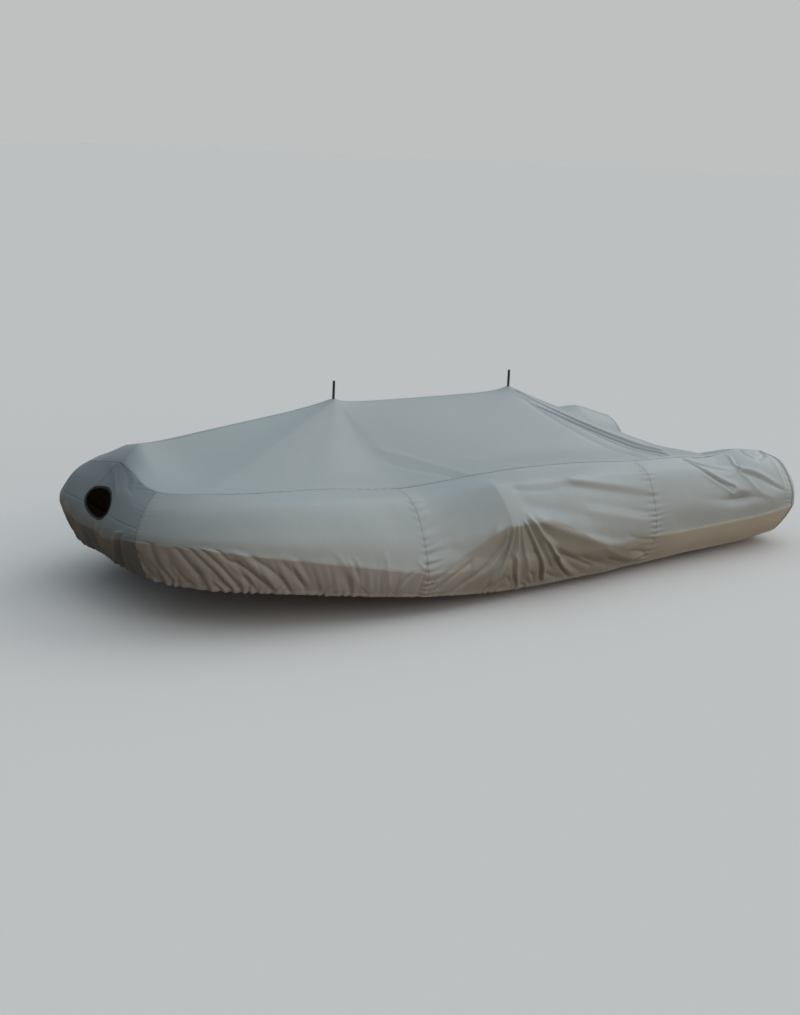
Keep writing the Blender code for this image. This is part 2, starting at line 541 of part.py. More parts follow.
def build_binding(colour):
    """Folded tape round the edge of the hand hole."""
    inner = folded_point(*hole_loop(0.0))
    outer = folded_point(*hole_loop(BINDING_WIDTH))
    middle = folded_point(*hole_loop(BINDING_WIDTH / 2))
    ahead = np.roll(middle, -1, 0) - np.roll(middle, 1, 0)
    normal = np.cross(ahead, outer - inner)
    normal *= BINDING_THICK / 2 / np.linalg.norm(normal, axis=-1, keepdims=True)
    ring = np.stack([inner - normal * 0.6, inner + normal * 0.6, middle + normal, outer + normal * 0.6,
                     outer - normal * 0.6, middle - normal], axis=1)
    steps, around = ring.shape[:2]
    faces = [(s * around + c, s * around + (c + 1) % around,
              (s + 1) % steps * around + (c + 1) % around, (s + 1) % steps * around + c)
             for s in range(steps) for c in range(around)]
    mesh = bpy.data.meshes.new("hole_binding")
    mesh.from_pydata([tuple(p) for p in ring.reshape(-1, 3)], [], faces)
    mesh.materials.append(colour)
    work = bmesh.new()
    work.from_mesh(mesh)
    bmesh.ops.recalc_face_normals(work, faces=work.faces)
    work.to_mesh(mesh)
    work.free()
    placed("hole_binding", mesh)


def hole_cutter():
    """Prism that cuts the hand hole through both pieces of the bow cap."""
    loop = folded_point(*hole_loop(BINDING_WIDTH + BINDING_GAP))
    across = loop[0] - loop[HOLE_STEPS // 2]
    down = loop[HOLE_STEPS // 4] - loop[3 * HOLE_STEPS // 4]
    through = np.cross(across, down)
    through *= 0.06 / np.linalg.norm(through)
    points = np.concatenate([loop - through, loop + through])
    ends = [list(range(HOLE_STEPS))[::-1], list(range(HOLE_STEPS, 2 * HOLE_STEPS))]
    sides = [(i, (i + 1) % HOLE_STEPS, HOLE_STEPS + (i + 1) % HOLE_STEPS, HOLE_STEPS + i)
             for i in range(HOLE_STEPS)]
    mesh = bpy.data.meshes.new("cut_hand_hole")
    mesh.from_pydata([tuple(p) for p in points], [], ends + sides)
    work = bmesh.new()
    work.from_mesh(mesh)
    bmesh.ops.recalc_face_normals(work, faces=work.faces)
    work.to_mesh(mesh)
    work.free()
    cutter = placed("cut_hand_hole", mesh)
    cutter.hide_render = True
    cutter.display_type = "WIRE"
    return cutter


def build_bow_cap(colour):
    """Bow cap in two pieces, above and below its level seam, with the hand hole through both."""
    cutter = hole_cutter()
    stations = np.linspace(-CAP_SEAM, CAP_SEAM, 19)
    upper = np.linspace(0, CAP_SPLIT, 7)
    lower = np.linspace(CAP_SPLIT, 1, 8)
    for obj in (side_panel("bow_cap_upper", stations, upper, colour, hem=False),
                side_panel("bow_cap_lower", stations, lower, colour)):
        hole = obj.modifiers.new("hand_hole", "BOOLEAN")
        hole.operation = "DIFFERENCE"
        hole.solver = "EXACT"
        hole.object = cutter


def build_sides(colour):
    """Side panels of both sides; port is the side with the closer gathers."""
    # name, first and last station, columns on port, columns on starboard
    panels = (("side_forward", CAP_SEAM, FORWARD_SEAM, 41, 21),
              ("side_mid", FORWARD_SEAM, AFT_SEAM, 50, 23),
              ("side_aft", AFT_SEAM, SOCK_END, 31, 16))
    for name, start, end, port_columns, starboard_columns in panels:
        for word, side, count in (("port", -1, port_columns), ("starboard", 1, starboard_columns)):
            stations = side * np.linspace(start, end, count)
            points = folded_point(np.sort(stations)[None, :], PANEL_DROPS[:, None])
            seams = ("top", "left", "right", "bottom")
            grid_object(f"{name}_{word}", points, seams, colour)


def build_socks(colour):
    """Inner half of each sock and the round piece that closes its end."""
    turns = np.linspace(0, 1, 11)
    stations = np.linspace(STERN_SEAM, SOCK_END, 8)
    for word, side in (("port", -1), ("starboard", 1)):
        points = sock_inner_point(side, stations[None, :], turns[:, None])
        if side < 0:
            points = points[:, ::-1]
        grid_object(f"sock_inner_{word}", points, ("top", "bottom", "left", "right"), colour)
        outer = folded_point(side * SOCK_END, PANEL_DROPS)
        inner = sock_inner_point(side, np.array(SOCK_END), turns[1:-1])[::-1]
        rim = np.concatenate([outer, inner])
        centre = rim.mean(axis=0)
        rings = np.array([1.0, 0.92, 0.75, 0.50, 0.22])
        dome = END_DOME * np.sqrt(1 - rings**2)
        disc = centre + (rim - centre) * rings[:, None, None]
        disc[..., 0] = rim[0, 0] + SEAM_INSET + dome[:, None]
        count = len(rim)
        tip = np.array([[rim[0, 0] + SEAM_INSET + END_DOME, centre[1], centre[2]]])
        around = [(r * count + c, r * count + (c + 1) % count,
                   (r + 1) * count + (c + 1) % count, (r + 1) * count + c)
                  for r in range(len(rings) - 1) for c in range(count)]
        last = (len(rings) - 1) * count
        around += [(last + c, last + (c + 1) % count, len(rings) * count) for c in range(count)]
        if side > 0:
            around = [face[::-1] for face in around]
        points = np.concatenate([disc.reshape(-1, 3), tip])
        cloth_object(f"end_cap_{word}", points, around, colour)


def build_stern(colour):
    """Panel that hangs between the socks, from the top's aft edge to its own hem."""
    turns = np.linspace(0.14, 0.62, 7)
    spread = np.linspace(-1, 1, 13)
    edge = sock_inner_point(-1, np.array(STERN_SEAM), turns)
    top_station, outline = top_outline()
    rim = outline[-AFT_EDGE_COLUMNS - 1:]
    rim_height = np.interp(np.abs(spread * edge[0, 1]), -rim[::-1, 1], rim[::-1, 2]) - STERN_INSET
    points = np.zeros((len(turns), len(spread), 3))
    for row, (turn, end) in enumerate(zip(turns, edge)):
        fall = (turn - turns[0]) / (turns[-1] - turns[0])
        points[row, :, 0] = end[0] - 0.003 + 0.02 * fall * (1 - spread**2)
        points[row, :, 1] = spread * end[1] * -1
        level = AFT_CENTRE[1] + (0.16 - AFT_CENTRE[1]) * fall
        blend = np.abs(spread) ** 4
        hang = level + (end[2] - level) * blend
        points[row, :, 2] = rim_height * (1 - fade(0, 0.5, fall)) + hang * fade(0, 0.5, fall)
    grid_object("stern_panel", points, ("top", "left", "right"), colour, STERN_INSET)


def build_poles(colour):
    """Two poles: a foot disc, a tube and a thin tip with a rounded end."""
    for name, x, peak in zip(POLE_NAMES, POLE_X, PEAK_HEIGHT):
        shoulder = peak - 0.009
        tip = peak + TIP_REACH
        foot_top = POLE_FOOT_Z + FOOT_HEIGHT
        profile = ((0, POLE_FOOT_Z), (FOOT_RADIUS, POLE_FOOT_Z), (FOOT_RADIUS, foot_top - 0.004),
                   (FOOT_RADIUS - 0.004, foot_top), (POLE_RADIUS, foot_top),
                   (POLE_RADIUS, shoulder - 0.003), (POLE_RADIUS - 0.003, shoulder), (TIP_RADIUS, shoulder),
                   (TIP_RADIUS, tip - 0.004), (TIP_RADIUS - 0.002, tip - 0.001), (0, tip))
        mesh = bpy.data.meshes.new(name)
        steps = [(i, i + 1) for i in range(len(profile) - 1)]
        mesh.from_pydata([(radius, 0, z) for radius, z in profile], steps, [])
        mesh.materials.append(colour)
        obj = placed(name, mesh)
        obj.location.x += x
        turned = obj.modifiers.new("turned", "SCREW")
        turned.steps = turned.render_steps = 16
        turned.use_merge_vertices = True
        turned.merge_threshold = 0.0001
        turned.use_normal_calculate = True


def material(name, colour, roughness, metallic=0.0):
    """Plain surface with a colour."""
    made = bpy.data.materials.new(name)
    made.use_nodes = True
    made.diffuse_color = colour
    shader = made.node_tree.nodes["Principled BSDF"]
    shader.inputs["Base Color"].default_value = colour
    shader.inputs["Roughness"].default_value = roughness
    shader.inputs["Metallic"].default_value = metallic
    return made


def main():
    for obj in list(bpy.data.objects):
        bpy.data.objects.remove(obj)
    cloth = material("coated_cloth", CLOTH_COLOUR, 0.55)
    cap = material("coated_cloth_cap", CAP_COLOUR, 0.55)
    build_top(cloth)
    build_bow_cap(cap)
    build_binding(material("binding_tape", BINDING_COLOUR, 0.6))
    build_sides(cloth)
    build_socks(cloth)
    build_stern(cloth)
    build_poles(material("pole_finish", POLE_COLOUR, 0.4))


if __name__ == "__main__":
    main()
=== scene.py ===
import math

import bmesh
import bpy
import numpy as np
from mathutils import Matrix, Vector


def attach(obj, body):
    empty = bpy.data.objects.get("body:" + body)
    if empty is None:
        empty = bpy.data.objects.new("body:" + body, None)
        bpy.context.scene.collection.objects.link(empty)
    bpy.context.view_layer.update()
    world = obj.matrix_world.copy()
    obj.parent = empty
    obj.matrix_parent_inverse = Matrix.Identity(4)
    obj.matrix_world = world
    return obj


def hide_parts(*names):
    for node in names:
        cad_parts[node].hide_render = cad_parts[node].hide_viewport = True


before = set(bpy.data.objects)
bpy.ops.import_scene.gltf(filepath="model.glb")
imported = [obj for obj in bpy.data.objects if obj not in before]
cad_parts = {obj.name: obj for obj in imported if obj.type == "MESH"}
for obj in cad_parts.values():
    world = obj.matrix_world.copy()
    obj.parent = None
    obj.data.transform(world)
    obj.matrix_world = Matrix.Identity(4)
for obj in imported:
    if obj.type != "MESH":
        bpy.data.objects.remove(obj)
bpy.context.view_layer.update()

ORIGIN = np.array([-0.100, 0.0, 0.806])

# ---- cloth and seams -------------------------------------------------------------------
CLOTH = 0.0018             # thickness of the coated cloth
SEAM_GAP = 0.0003          # each panel ends this far from the seam line
SEAM_DEPTH = 0.0036        # the edges turn in this far where two panels are sewn together
SIDE_SEAM_DEPTH = 0.0017   # and less far at the side seams, which are pressed flat
CAP_SEAM_SHARE = 0.6       # share of the depth at the level seam of the bow cap
PRESSED = 0.8              # share of the depth that is lost on top of a sock
SEAM_ROLL = 0.0042         # width over which an edge turns in
SIDE_SEAM_LESS_DARK = 0.0022   # side seams get less dirt and painted shade, as if this much further away
STITCH_DENT = 0.0010       # the hem's row of stitches draws the cloth in this far
STITCH_WIDTH = 0.003       # width of that dent
EDGE_STEPS = np.array([0.0, 0.0012, 0.0028, 0.005, 0.008, 0.012])   # rows of mesh beside a seam
FINER = 0.55               # rows of mesh lie this much closer where the cloth is gathered
NORMAL_STEP = 0.006        # how far apart the points lie that give the cloth's direction
BINDING_WIDTH = 0.014
BINDING_THICK = 0.0045
CUT_WIDTH = BINDING_WIDTH * 0.75   # the hole in the cloth is this much wider than in its binding
CUT_DEPTH = 0.06           # how far the shape that cuts it reaches, in and out
# across the tape and up, as shares of its width and of half its thickness
TAPE_PROFILE = (
    (0.0, 0.0), (0.02, 0.5), (0.14, 0.85), (0.35, 1.0), (0.65, 1.0), (0.88, 0.85), (1.0, 0.45),
    (1.0, -0.45), (0.88, -0.85), (0.65, -1.0), (0.35, -1.0), (0.14, -0.85), (0.02, -0.5),
)

# ---- plan of the cover's sides ---------------------------------------------------------
HALF_SPAN = 0.655
STRAIGHT_X = -0.195        # the sides run straight aft of here
STRAIGHT_RUN = 2.5         # length of that run, to past the end of a sock
NOSE_X = -1.754
BOW_ALONG = 1.71           # how full the bow is drawn, along and across
BOW_ACROSS = 3.69
PLAN_STEPS = 600           # points along the bow
SIDE_HEIGHT = 0.245        # height of the middle of a side
SHEER_X = -0.155           # forward of here the sides rise to the bow
SHEER_REACH = 2.0
SHEER_RISE = 0.167
SHEER_POWER = 1.274
SOCK_RADIUS = 0.262        # of the inner half of a sock
SOCK_NARROWS = {-1: 0.14, 1: 0.20}   # how much thinner a sock is at its end, port and starboard
SOCK_TAPER = 0.45          # over this length
SOCK_HILL = 0.003          # height of the low random hills on its inner half

# ---- seams, as stations: metres along the middle of a side from the nose ----------------
CAP_SEAM = 0.29
FORWARD_SEAM = 1.40
AFT_SEAM = 2.83
STERN_SEAM = 3.42          # the top ends here and the inner half of a sock begins
SOCK_START = (STERN_SEAM - 0.02, STERN_SEAM + 0.08)   # between these the seam goes over onto a sock
SOCK_END = 3.93
END_DOME = 0.10
CAP_SPLIT = 0.455          # drop of the bow cap's level seam
GIRTH = 0.62               # mean length of the band from seam to hem

# ---- poles -----------------------------------------------------------------------------
POLE_X = (-0.668, 0.467)
PEAK_HEIGHT = (0.842, 0.832)
PEAK_HOLE = 0.0085
PEAK_DROP = 0.022          # the cloth falls this much close round a pole
PEAK_REACH = 0.055
RIDGE_SAG = 0.026
RIDGE_ROUND = 0.035

# Cross sections of the side band: out and up from the middle of the side.
# station, then out and up of: seam, shoulder, side, crease, hem
SECTIONS = (
    (0.00, 0.053, 0.258, 0.118, 0.150, 0.178, 0.040, 0.188, -0.046, 0.132, -0.165),
    (0.14, 0.066, 0.236, 0.142, 0.154, 0.205, 0.050, 0.213, -0.038, 0.144, -0.168),
    (0.29, 0.106, 0.205, 0.190, 0.140, 0.246, 0.055, 0.255, 0.010, 0.171, -0.176),
    (0.45, 0.075, 0.212, 0.185, 0.160, 0.252, 0.070, 0.265, 0.018, 0.185, -0.185),
    (0.65, 0.040, 0.225, 0.165, 0.190, 0.248, 0.080, 0.268, 0.000, 0.195, -0.183),
    (1.00, -0.010, 0.246, 0.130, 0.212, 0.236, 0.085, 0.268, -0.036, 0.215, -0.190),
    (1.40, -0.050, 0.240, 0.090, 0.212, 0.210, 0.070, 0.265, -0.085, 0.235, -0.205),
    (1.90, -0.010, 0.310, 0.125, 0.235, 0.225, 0.090, 0.262, -0.075, 0.205, -0.225),
    (2.40, 0.020, 0.316, 0.140, 0.250, 0.235, 0.100, 0.260, -0.070, 0.200, -0.228),
    (2.83, 0.060, 0.296, 0.165, 0.238, 0.240, 0.085, 0.258, -0.066, 0.165, -0.230),
    (3.20, 0.050, 0.278, 0.165, 0.217, 0.245, 0.080, 0.252, -0.066, 0.150, -0.226),
    (3.45, 0.030, 0.252, 0.160, 0.203, 0.248, 0.074, 0.254, -0.060, 0.147, -0.223),
    (3.70, -0.015, 0.262, 0.148, 0.216, 0.248, 0.070, 0.254, -0.052, 0.142, -0.216),
    (3.93, -0.020, 0.230, 0.130, 0.195, 0.225, 0.073, 0.240, -0.035, 0.130, -0.200),
)
DROP_KNOTS = np.linspace(0.0, 1.0, 5)
# station and how sharp the crease is there
CREASE = (
    (0.0, 0.0), (0.20, 0.6), (0.30, 1.0), (1.45, 1.0), (1.65, 0.2), (2.70, 0.3), (2.86, 1.0), (3.93, 1.0),
)
CREASE_SWELL = 0.008       # swell of the cloth below a sharp crease
SWELL_SHARE = 0.7
# station and how much higher the seam lies on starboard
STARBOARD_LIFT = ((0.0, 0.0), (3.20, 0.0), (3.45, 0.026), (3.68, 0.026), (3.93, -0.014))
SHOULDER_LIFT = 0.6
STARBOARD_SEED = 40.0      # starboard takes its unevenness from another place than port

# ---- hand hole -------------------------------------------------------------------------
HOLE_STATION = -0.012
HOLE_DROP = 0.407
HOLE_HALF_STATION = 0.112
HOLE_HALF_DROP = 0.134
HOLE_TAPER = 0.06
HOLE_TILT = -0.013
HOLE_STEPS = 96
HOLE_STATION_LENGTH = 1.25     # metres of cloth to a metre of station and to a whole drop
HOLE_DROP_LENGTH = 0.5
CAP_MESH = 0.0052              # how far apart the points of the bow cap's mesh lie

# ---- gathers above the elastic hem -----------------------------------------------------
GATHER_PITCH = 0.086
GATHER_HEIGHT = 0.0125
GATHER_START = 0.70        # drop where the gathers begin, and where they are at full height
GATHER_FULL = 0.84
GATHER_BEND = 1.2
GATHER_STRAY = 0.55        # share of the pitch that a gather may stray
GATHER_DRAWN = 0.55        # share of the height that the elastic takes away below DRAWN_FROM
DRAWN_FROM = 0.88
FOLD_DRAWN = 0.7
FINE_GATHERS = 2.21        # finer gathers to each coarse one, and their share of the height
FINE_SHARE = 0.40
CREASE_WIDTH = 0.13        # share of the pitch that a crease takes up
FINE_CREASE_WIDTH = 0.16
LIP_PLACE = 2.3            # the lip beside a crease lies this many widths away
# station, strength on port, strength on starboard, metres that the gathers lean aft
GATHERS = (
    (0.0, 0.12, 0.3, 0.0), (0.28, 0.12, 0.8, 0.06), (0.34, 0.15, 0.9, 0.06), (0.45, 0.2, 1.0, 0.12),
    (0.75, 0.25, 1.0, 0.13), (0.95, 0.4, 0.9, 0.07), (1.20, 0.35, 0.8, 0.0), (1.35, 0.3, 0.6, -0.06),
    (1.50, 0.3, 0.7, -0.12), (1.65, 0.15, 0.5, -0.14), (1.80, 0.0, 0.3, -0.1), (2.50, 0.0, 0.3, 0.1),
    (2.90, 0.0, 0.2, 0.1), (3.05, 0.0, 0.0, 0.0), (3.93, 0.0, 0.0, 0.0),
)
HEM_WIDTH = 0.016          # casing that holds the elastic
HEM_SWELL = 0.0016
RUFFLE_PITCH = 0.041
RUFFLE_HEIGHT = 0.0070
RUFFLE_REACH = 0.042
RUFFLE_CREASE = 0.2
# station and strength of the ruffles
RUFFLES = ((0.0, 1.0), (1.3, 1.0), (1.9, 0.8), (2.3, 0.3), (2.8, 0.3), (3.1, 0.2), (3.93, 0.1))
# Low random hills all over the band: to the metre along, from seam to hem, height, seed
BAND_HILLS = ((7, 5, 0.0016, 61), (19, 9, 0.0007, 62))

# ---- the corner that stands out under the middle panel ---------------------------------
CORNER_EDGE = 1.825        # station of the upright edge, at the corner's top
CORNER_EDGE_LEAN = 0.075
CORNER_TOP = 0.222         # drop of the upper edge at the corner, and how fast it falls to the stern
CORNER_TOP_FALL = 0.080
CORNER_LOW = 0.498         # drop of the lower edge, level as far as CORNER_LOW_END and then falling
CORNER_LOW_END = 2.02
CORNER_LOW_FALL = 0.46
CORNER_LOW_WIDENS = 0.25
CORNER_FAR = (2.32, 0.55)  # where the upper edge ends, and the share of the height left there
CORNER_HEIGHT = 0.060
CORNER_REACH = (0.36, 0.145, 0.125, 0.52)   # how far the cloth is lifted ahead, above, below and behind
CORNER_HOLLOW = 1.45       # how hollow the cloth lies round the corner
CORNER_STARBOARD = 0.45    # share of the height on starboard
FOLD_EDGE = 0.03           # how blunt the crest of a fold is
FOLD_FALL = 0.7
FOLD_END = (2.2, 0.3)      # a fold ends over this many widths, at most this share of its length

# Ridges, and troughs where the height is below zero, each a line from one place to another.
# In thousandths: station, drop, end station, end drop, bow to one side, height, end height,
# width, end width; and then, for a fold that leans over, its lean.
PORT_FOLDS = (
    # drawn in by the elastic along the forward panel
    (294, 821, 337, 998, -16, -10, -12, 7.4, 9.6, 0.2),
    (292, 785, 321, 995, -15, 6, 8, 9.9, 11.7),
    (330, 738, 391, 990, -19, -9, -12, 7.4, 9.6, 0.2),
    (351, 804, 381, 954, -12, 4, 6, 10.8, 12.6),
    (321, 879, 335, 979, 9, -6, -8, 12.6, 14.4),
    (374, 820, 404, 975, -12, -4, -7, 8.9, 9.6),
    (389, 870, 434, 985, -6, -6, -9, 7.4, 8.9),
    (400, 767, 449, 890, -1, -8, -12, 6.7, 8.1),
    (449, 890, 463, 983, 3, -12, -8, 8.1, 8.9),
    (430, 745, 556, 975, 0, -8, -10, 6.7, 8.1),
    (471, 756, 587, 973, 8, -8, -12, 6.7, 8.1),
    (491, 895, 539, 970, 1, -3, -6, 6.7, 8.1),
    (514, 726, 575, 805, -12, -7, -6, 5.9, 6.7),
    (585, 808, 704, 970, 7, -9, -12, 6.7, 8.9),
    (542, 817, 610, 917, -2, -4, -5, 7.4, 8.9),
    (605, 889, 647, 982, 5, -6, -10, 6.7, 8.1),
    (635, 768, 781, 979, 17, -6, -12, 8.9, 9.6),
    (749, 785, 851, 946, 3, -6, -10, 11.7, 14.4),
    (449, 767, 570, 974, 5, 3, 4, 12.6, 14.4),
    (495, 758, 628, 977, 8, 4, 5, 14.4, 16.2),
    (604, 769, 740, 982, 9, 4, 6, 16.2, 18),
    (584, 746, 681, 864, -1, 3, 4, 14.4, 16.2),
    (820, 782, 890, 943, -4, -6, -10, 16.2, 18),
    (792, 793, 889, 935, 1, 3, 5, 14.4, 16.2),
    (921, 790, 972, 945, 1, 3, 5, 18, 19.8),
    (998, 822, 1036, 959, 5, -4, -9, 16.2, 18),
    (976, 680, 1034, 818, -5, 3, 3, 12.6, 14.4),
    (1025, 735, 1078, 887, -1, 4, 6, 12.6, 14.4),
    (1044, 765, 1093, 973, 6, -5, -10, 11.7, 14.4),
    (1049, 687, 1066, 754, 0, 3, 3, 10.8, 10.8),
    (1145, 705, 1142, 878, -4, -3, -3, 12.6, 14.4),
    (1197, 667, 1212, 862, -3, 4, 5, 12.6, 12.6),
    (1319, 760, 1239, 969, -10, -5, -7, 6.7, 7.4),
    (1331, 759, 1258, 966, -5, 3, 4, 10.8, 12.6),
    (1387, 718, 1360, 988, -2, -5, -8, 8.9, 10.4),
    (1358, 677, 1382, 712, 0, 4, 4, 12.6, 12.6),
    (1315, 852, 1314, 975, -5, -3, -5, 8.9, 10.4),
    # long soft wrinkles behind the first side seam
    (1448, 430, 1678, 357, 8, -6, -1, 20, 26),
    (1428, 545, 1607, 483, 3, -6, -1, 18, 26),
    (1419, 610, 1556, 585, 3, -5, -1, 16, 22),
    (1422, 578, 1556, 530, 4, 4, 1, 16, 22),
    (1416, 660, 1533, 652, 2, 4, 1, 16, 20),
    (1462, 375, 1624, 317, 4, 3, 1, 22, 26),
    # fan below the corner
    (1763, 512, 1709, 730, 2, 5, 6, 16, 20),
    (1812, 520, 1710, 740, 14, -10, -10, 11, 14),
    (1710, 740, 1550, 953, -4, -8, -8, 11, 12),
    (1819, 540, 1747, 722, 17, 5, 5, 11, 14),
    (1832, 523, 1748, 846, 19, -8, -10, 9, 12),
    (1848, 518, 1767, 875, 14, 13, 14, 10, 14),
    (1855, 507, 1833, 767, 14, -8, -7, 10, 14),
    (1874, 509, 1888, 710, 7, 7, 6, 10, 12),
    (1885, 511, 1922, 667, -3, -7, -6, 9, 11),
    (1894, 518, 1943, 703, 1, 5, 6, 10, 12),
    (1885, 710, 1949, 964, -13, 10, 11, 10, 12),
    (1868, 723, 1913, 920, -12, -7, -8, 9, 11),
    (1918, 717, 1960, 921, -5, -6, -4, 20, 20),
    (1947, 722, 2015, 925, -5, 6, 6, 13, 15),
    (1910, 501, 2005, 686, 2, -7, -9, 5, 6),
    (1920, 499, 2095, 926, 19, 13, 16, 9, 12),
    (2005, 686, 2073, 930, 6, -11, -11, 6, 8),
    (1939, 495, 2117, 829, 7, -8, -9, 6, 9),
    (1960, 481, 2132, 737, 4, 16, 18, 10, 13),
    (2132, 737, 2310, 951, -10, 16, 10, 13, 20),
    (2065, 642, 2270, 967, -9, -9, -11, 6, 9),
    (1988, 493, 2107, 620, 2, -8, -4, 16, 18),
    (2127, 707, 2402, 898, 1, -10, -10, 11, 16),
    (2103, 642, 2377, 835, -10, 6, 6, 16, 22),
    (2103, 885, 2242, 979, -7, -8, -8, 10, 12),
    (1817, 910, 1825, 834, -9, -8, -4, 9, 11),
    (1860, 875, 1887, 925, 0, -8, -8, 9, 11),
    (1993, 855, 2037, 954, 9, -8, -9, 9, 11),
    (1631, 700, 1598, 860, 13, -4, -6, 12, 13),
    (1625, 700, 1470, 900, -15, -5, -8, 11, 12),
    (1516, 735, 1419, 880, -9, -4, -6, 12, 12),
    (2150, 700, 2430, 1000, -21, -8, -8, 14, 26),
    (2330, 800, 2640, 980, -10, -7, -6, 14, 20),
    (2480, 760, 2790, 940, -10, 5, 6, 16, 22),
    (2520, 860, 2760, 990, -4, -7, -6, 12, 16),
    (2640, 700, 2800, 760, -6, -4, -6, 12, 14),
    (2690, 840, 2815, 900, 6, -6, -8, 10, 12),
    (2700, 930, 2815, 890, 4, 5, 6, 10, 12),
    # slack cloth between the corner and the second side seam
    (2300, 262, 2790, 362, -1, 14, 5, 18, 26, 0.3),
    (2300, 300, 2800, 415, -3, -10, -5, 18, 28, -0.2),
    (1950, 272, 2220, 297, -8, -7, -6, 16, 20),
    (1985, 380, 2330, 505, -2, -6, -6, 26, 34),
    (1960, 455, 2300, 600, 1, 8, 6, 26, 34),
    (2100, 540, 2680, 760, 6, -10, -6, 26, 36),
    (2025, 505, 2660, 790, -8, 13, 7, 22, 34, 0.2),
    (2220, 760, 2660, 980, 6, -10, -8, 22, 30),
    (2060, 60, 2640, 215, -50, 4, 2, 12, 16),
    (2360, 480, 2760, 600, 4, 5, 4, 26, 30),
    (2380, 430, 2760, 530, 5, -5, -4, 24, 28),
    # pull from the aft pole carried on over the port sock
    (3197, 60, 3442, 257, -16, -10, -4, 7, 11, 0.3),
    (3227, 55, 3437, 220, -9, 5, 3, 12, 16),
    (3209, 111, 3440, 407, -33, -8, -11, 4, 4.5),
    (3235, 140, 3450, 400, -18, 3, 5, 6, 7),
    (3230, 215, 3430, 448, 0, -4, -9, 4, 4.5),
    (3288, 245, 3460, 392, -5, 4, 6, 12, 14),
    (3261, 300, 3423, 456, -3, 4, 7, 10, 12),
    (3576, 89, 3543, 260, -8, 5, 8, 10, 11),
    (3552, 262, 3837, 473, 8, 12, 4, 10, 14),
    (3558, 300, 3827, 493, 3, -14, -6, 9, 12),
    (3540, 288, 3745, 562, -27, 7, 3, 14, 22),
    (3540, 268, 3403, 307, 7, 5, 1.5, 10, 14),
    (3422, 467, 3543, 457, 12, 6, 4, 14, 18),
    (3240, 490, 3491, 520, -8, -5, -15, 32, 30),
    (3458, 525, 3660, 545, 8, -15, -4, 30, 30),
    (3770, 6, 3880, 66, -30, -6, -8, 10, 12),
    (3765, 51, 3870, 95, -30, 6, 6, 10, 10),
    (3693, 111, 3757, 211, -28, -4, -5, 10, 10),
    (3915, 7, 3763, 201, 22, -7, -5, 10, 12),
    (3929, 111, 3925, 385, -13, -5, -5, 10, 12),
    (3873, 144, 3867, 438, -9, 4, 3, 12, 14),
    (3735, 20, 3710, 142, -14, -4, -4, 8, 8),
    (3330, 60, 3530, 190, 4, -10, -14, 34, 40),
)
STARBOARD_FOLDS = (
    (1750, 620, 1640, 1000, 0, 6, 12, 24, 35),
    (1840, 600, 1780, 1000, 0, -8, -14, 24, 35),
    (1930, 580, 1930, 1000, 0, 10, 14, 24, 35, 0.2),
    (2020, 600, 2080, 1000, 0, -8, -12, 24, 35),
    (2110, 620, 2230, 1000, 0, 6, 10, 26, 38),
    (2220, 300, 2700, 420, 10, 8, 3, 30, 40),
    (2180, 560, 2660, 760, -20, -8, -4, 30, 40),
    (3100, 30, 3440, 260, 10, -14, -10, 18, 24),
    (3140, 130, 3480, 400, 10, 10, 6, 18, 24),
    (3200, 120, 3520, 460, -20, -12, -8, 14, 20),
    (3560, 280, 3830, 440, 0, -12, -6, 18, 22),
    (3640, 80, 3880, 160, 0, -10, -4, 16, 20),
)
# Here a station below zero is on port
CAP_FOLDS = (
    (30, 8, 78, 267, 0, 7, 6, 11, 12, 0.5),
    (50, 60, -108, 242, 2, 3, 3, 20, 20),
    (-42, 28, -161, 120, -14, -1.5, -1.5, 18, 20),
    (-134, 7, -183, 152, -26, 1.8, 1.5, 18, 20),
    (-165, 145, -240, 218, -14, -2, -1.5, 18, 18),
    (-218, 177, -256, 255, -2, 1.8, 1.2, 16, 16),
    (-192, 0, -220, 90, -1, -1.2, -1, 16, 18),
    (-225, 608, -105, 998, -32, 8, 6, 9, 11),
    (-244, 610, -195, 900, -10, -4, -11, 8, 12),
    (-245, 581, -240, 810, -8, 4, 7, 8, 10),
    (-262, 690, -192, 965, 1, -1.5, -10, 8, 12),
    (-268, 745, -244, 966, 3, -1, -6, 9, 13),
    (195, 551, 167, 842, -21, -4, -4, 16, 18),
    (93, 570, 72, 833, -11, 3, 3, 28, 30),
    (-112, 580, 40, 891, -22, -3, -4, 22, 24),
    (110, 100, 130, 420, 0, 4, 3, 16, 20),
    (230, 560, 240, 960, 0, -6, -8, 13, 18),
)

# Puckers beside the seams; slant is metres up along the seam per metre away from it
SIDE_SEAM_PUCKERS = (
    # station, forward reach, aft reach, pitch, height, slant
    (CAP_SEAM, 0.020, 0.028, 0.030, 0.0010, 0.5),
    (FORWARD_SEAM, 0.020, 0.060, 0.036, 0.0052, 0.24),
    (AFT_SEAM, 0.046, 0.050, 0.032, 0.0052, 0.05),
    (SOCK_END, 0.050, 0.050, 0.034, 0.0034, 0.25),
)
# Puckers along the top seam, on the band and on the top: pitch, reach, slant and seed
BAND_PUCKERS = (0.046, 0.046, 1.1, 51)
BAND_PUCKER_HEIGHT = 0.0026
# station and strength of the band's puckers
TOP_SEAM_STRENGTH = (
    (0.0, 0.2), (0.30, 0.6), (0.40, 1.0), (1.35, 1.0), (1.70, 0.8), (2.0, 0.25), (3.4, 0.15), (3.93, 0.8),
)
TOP_PUCKERS = (0.040, 0.030, -0.8, 91)
TOP_PUCKER_HEIGHT = 0.0020

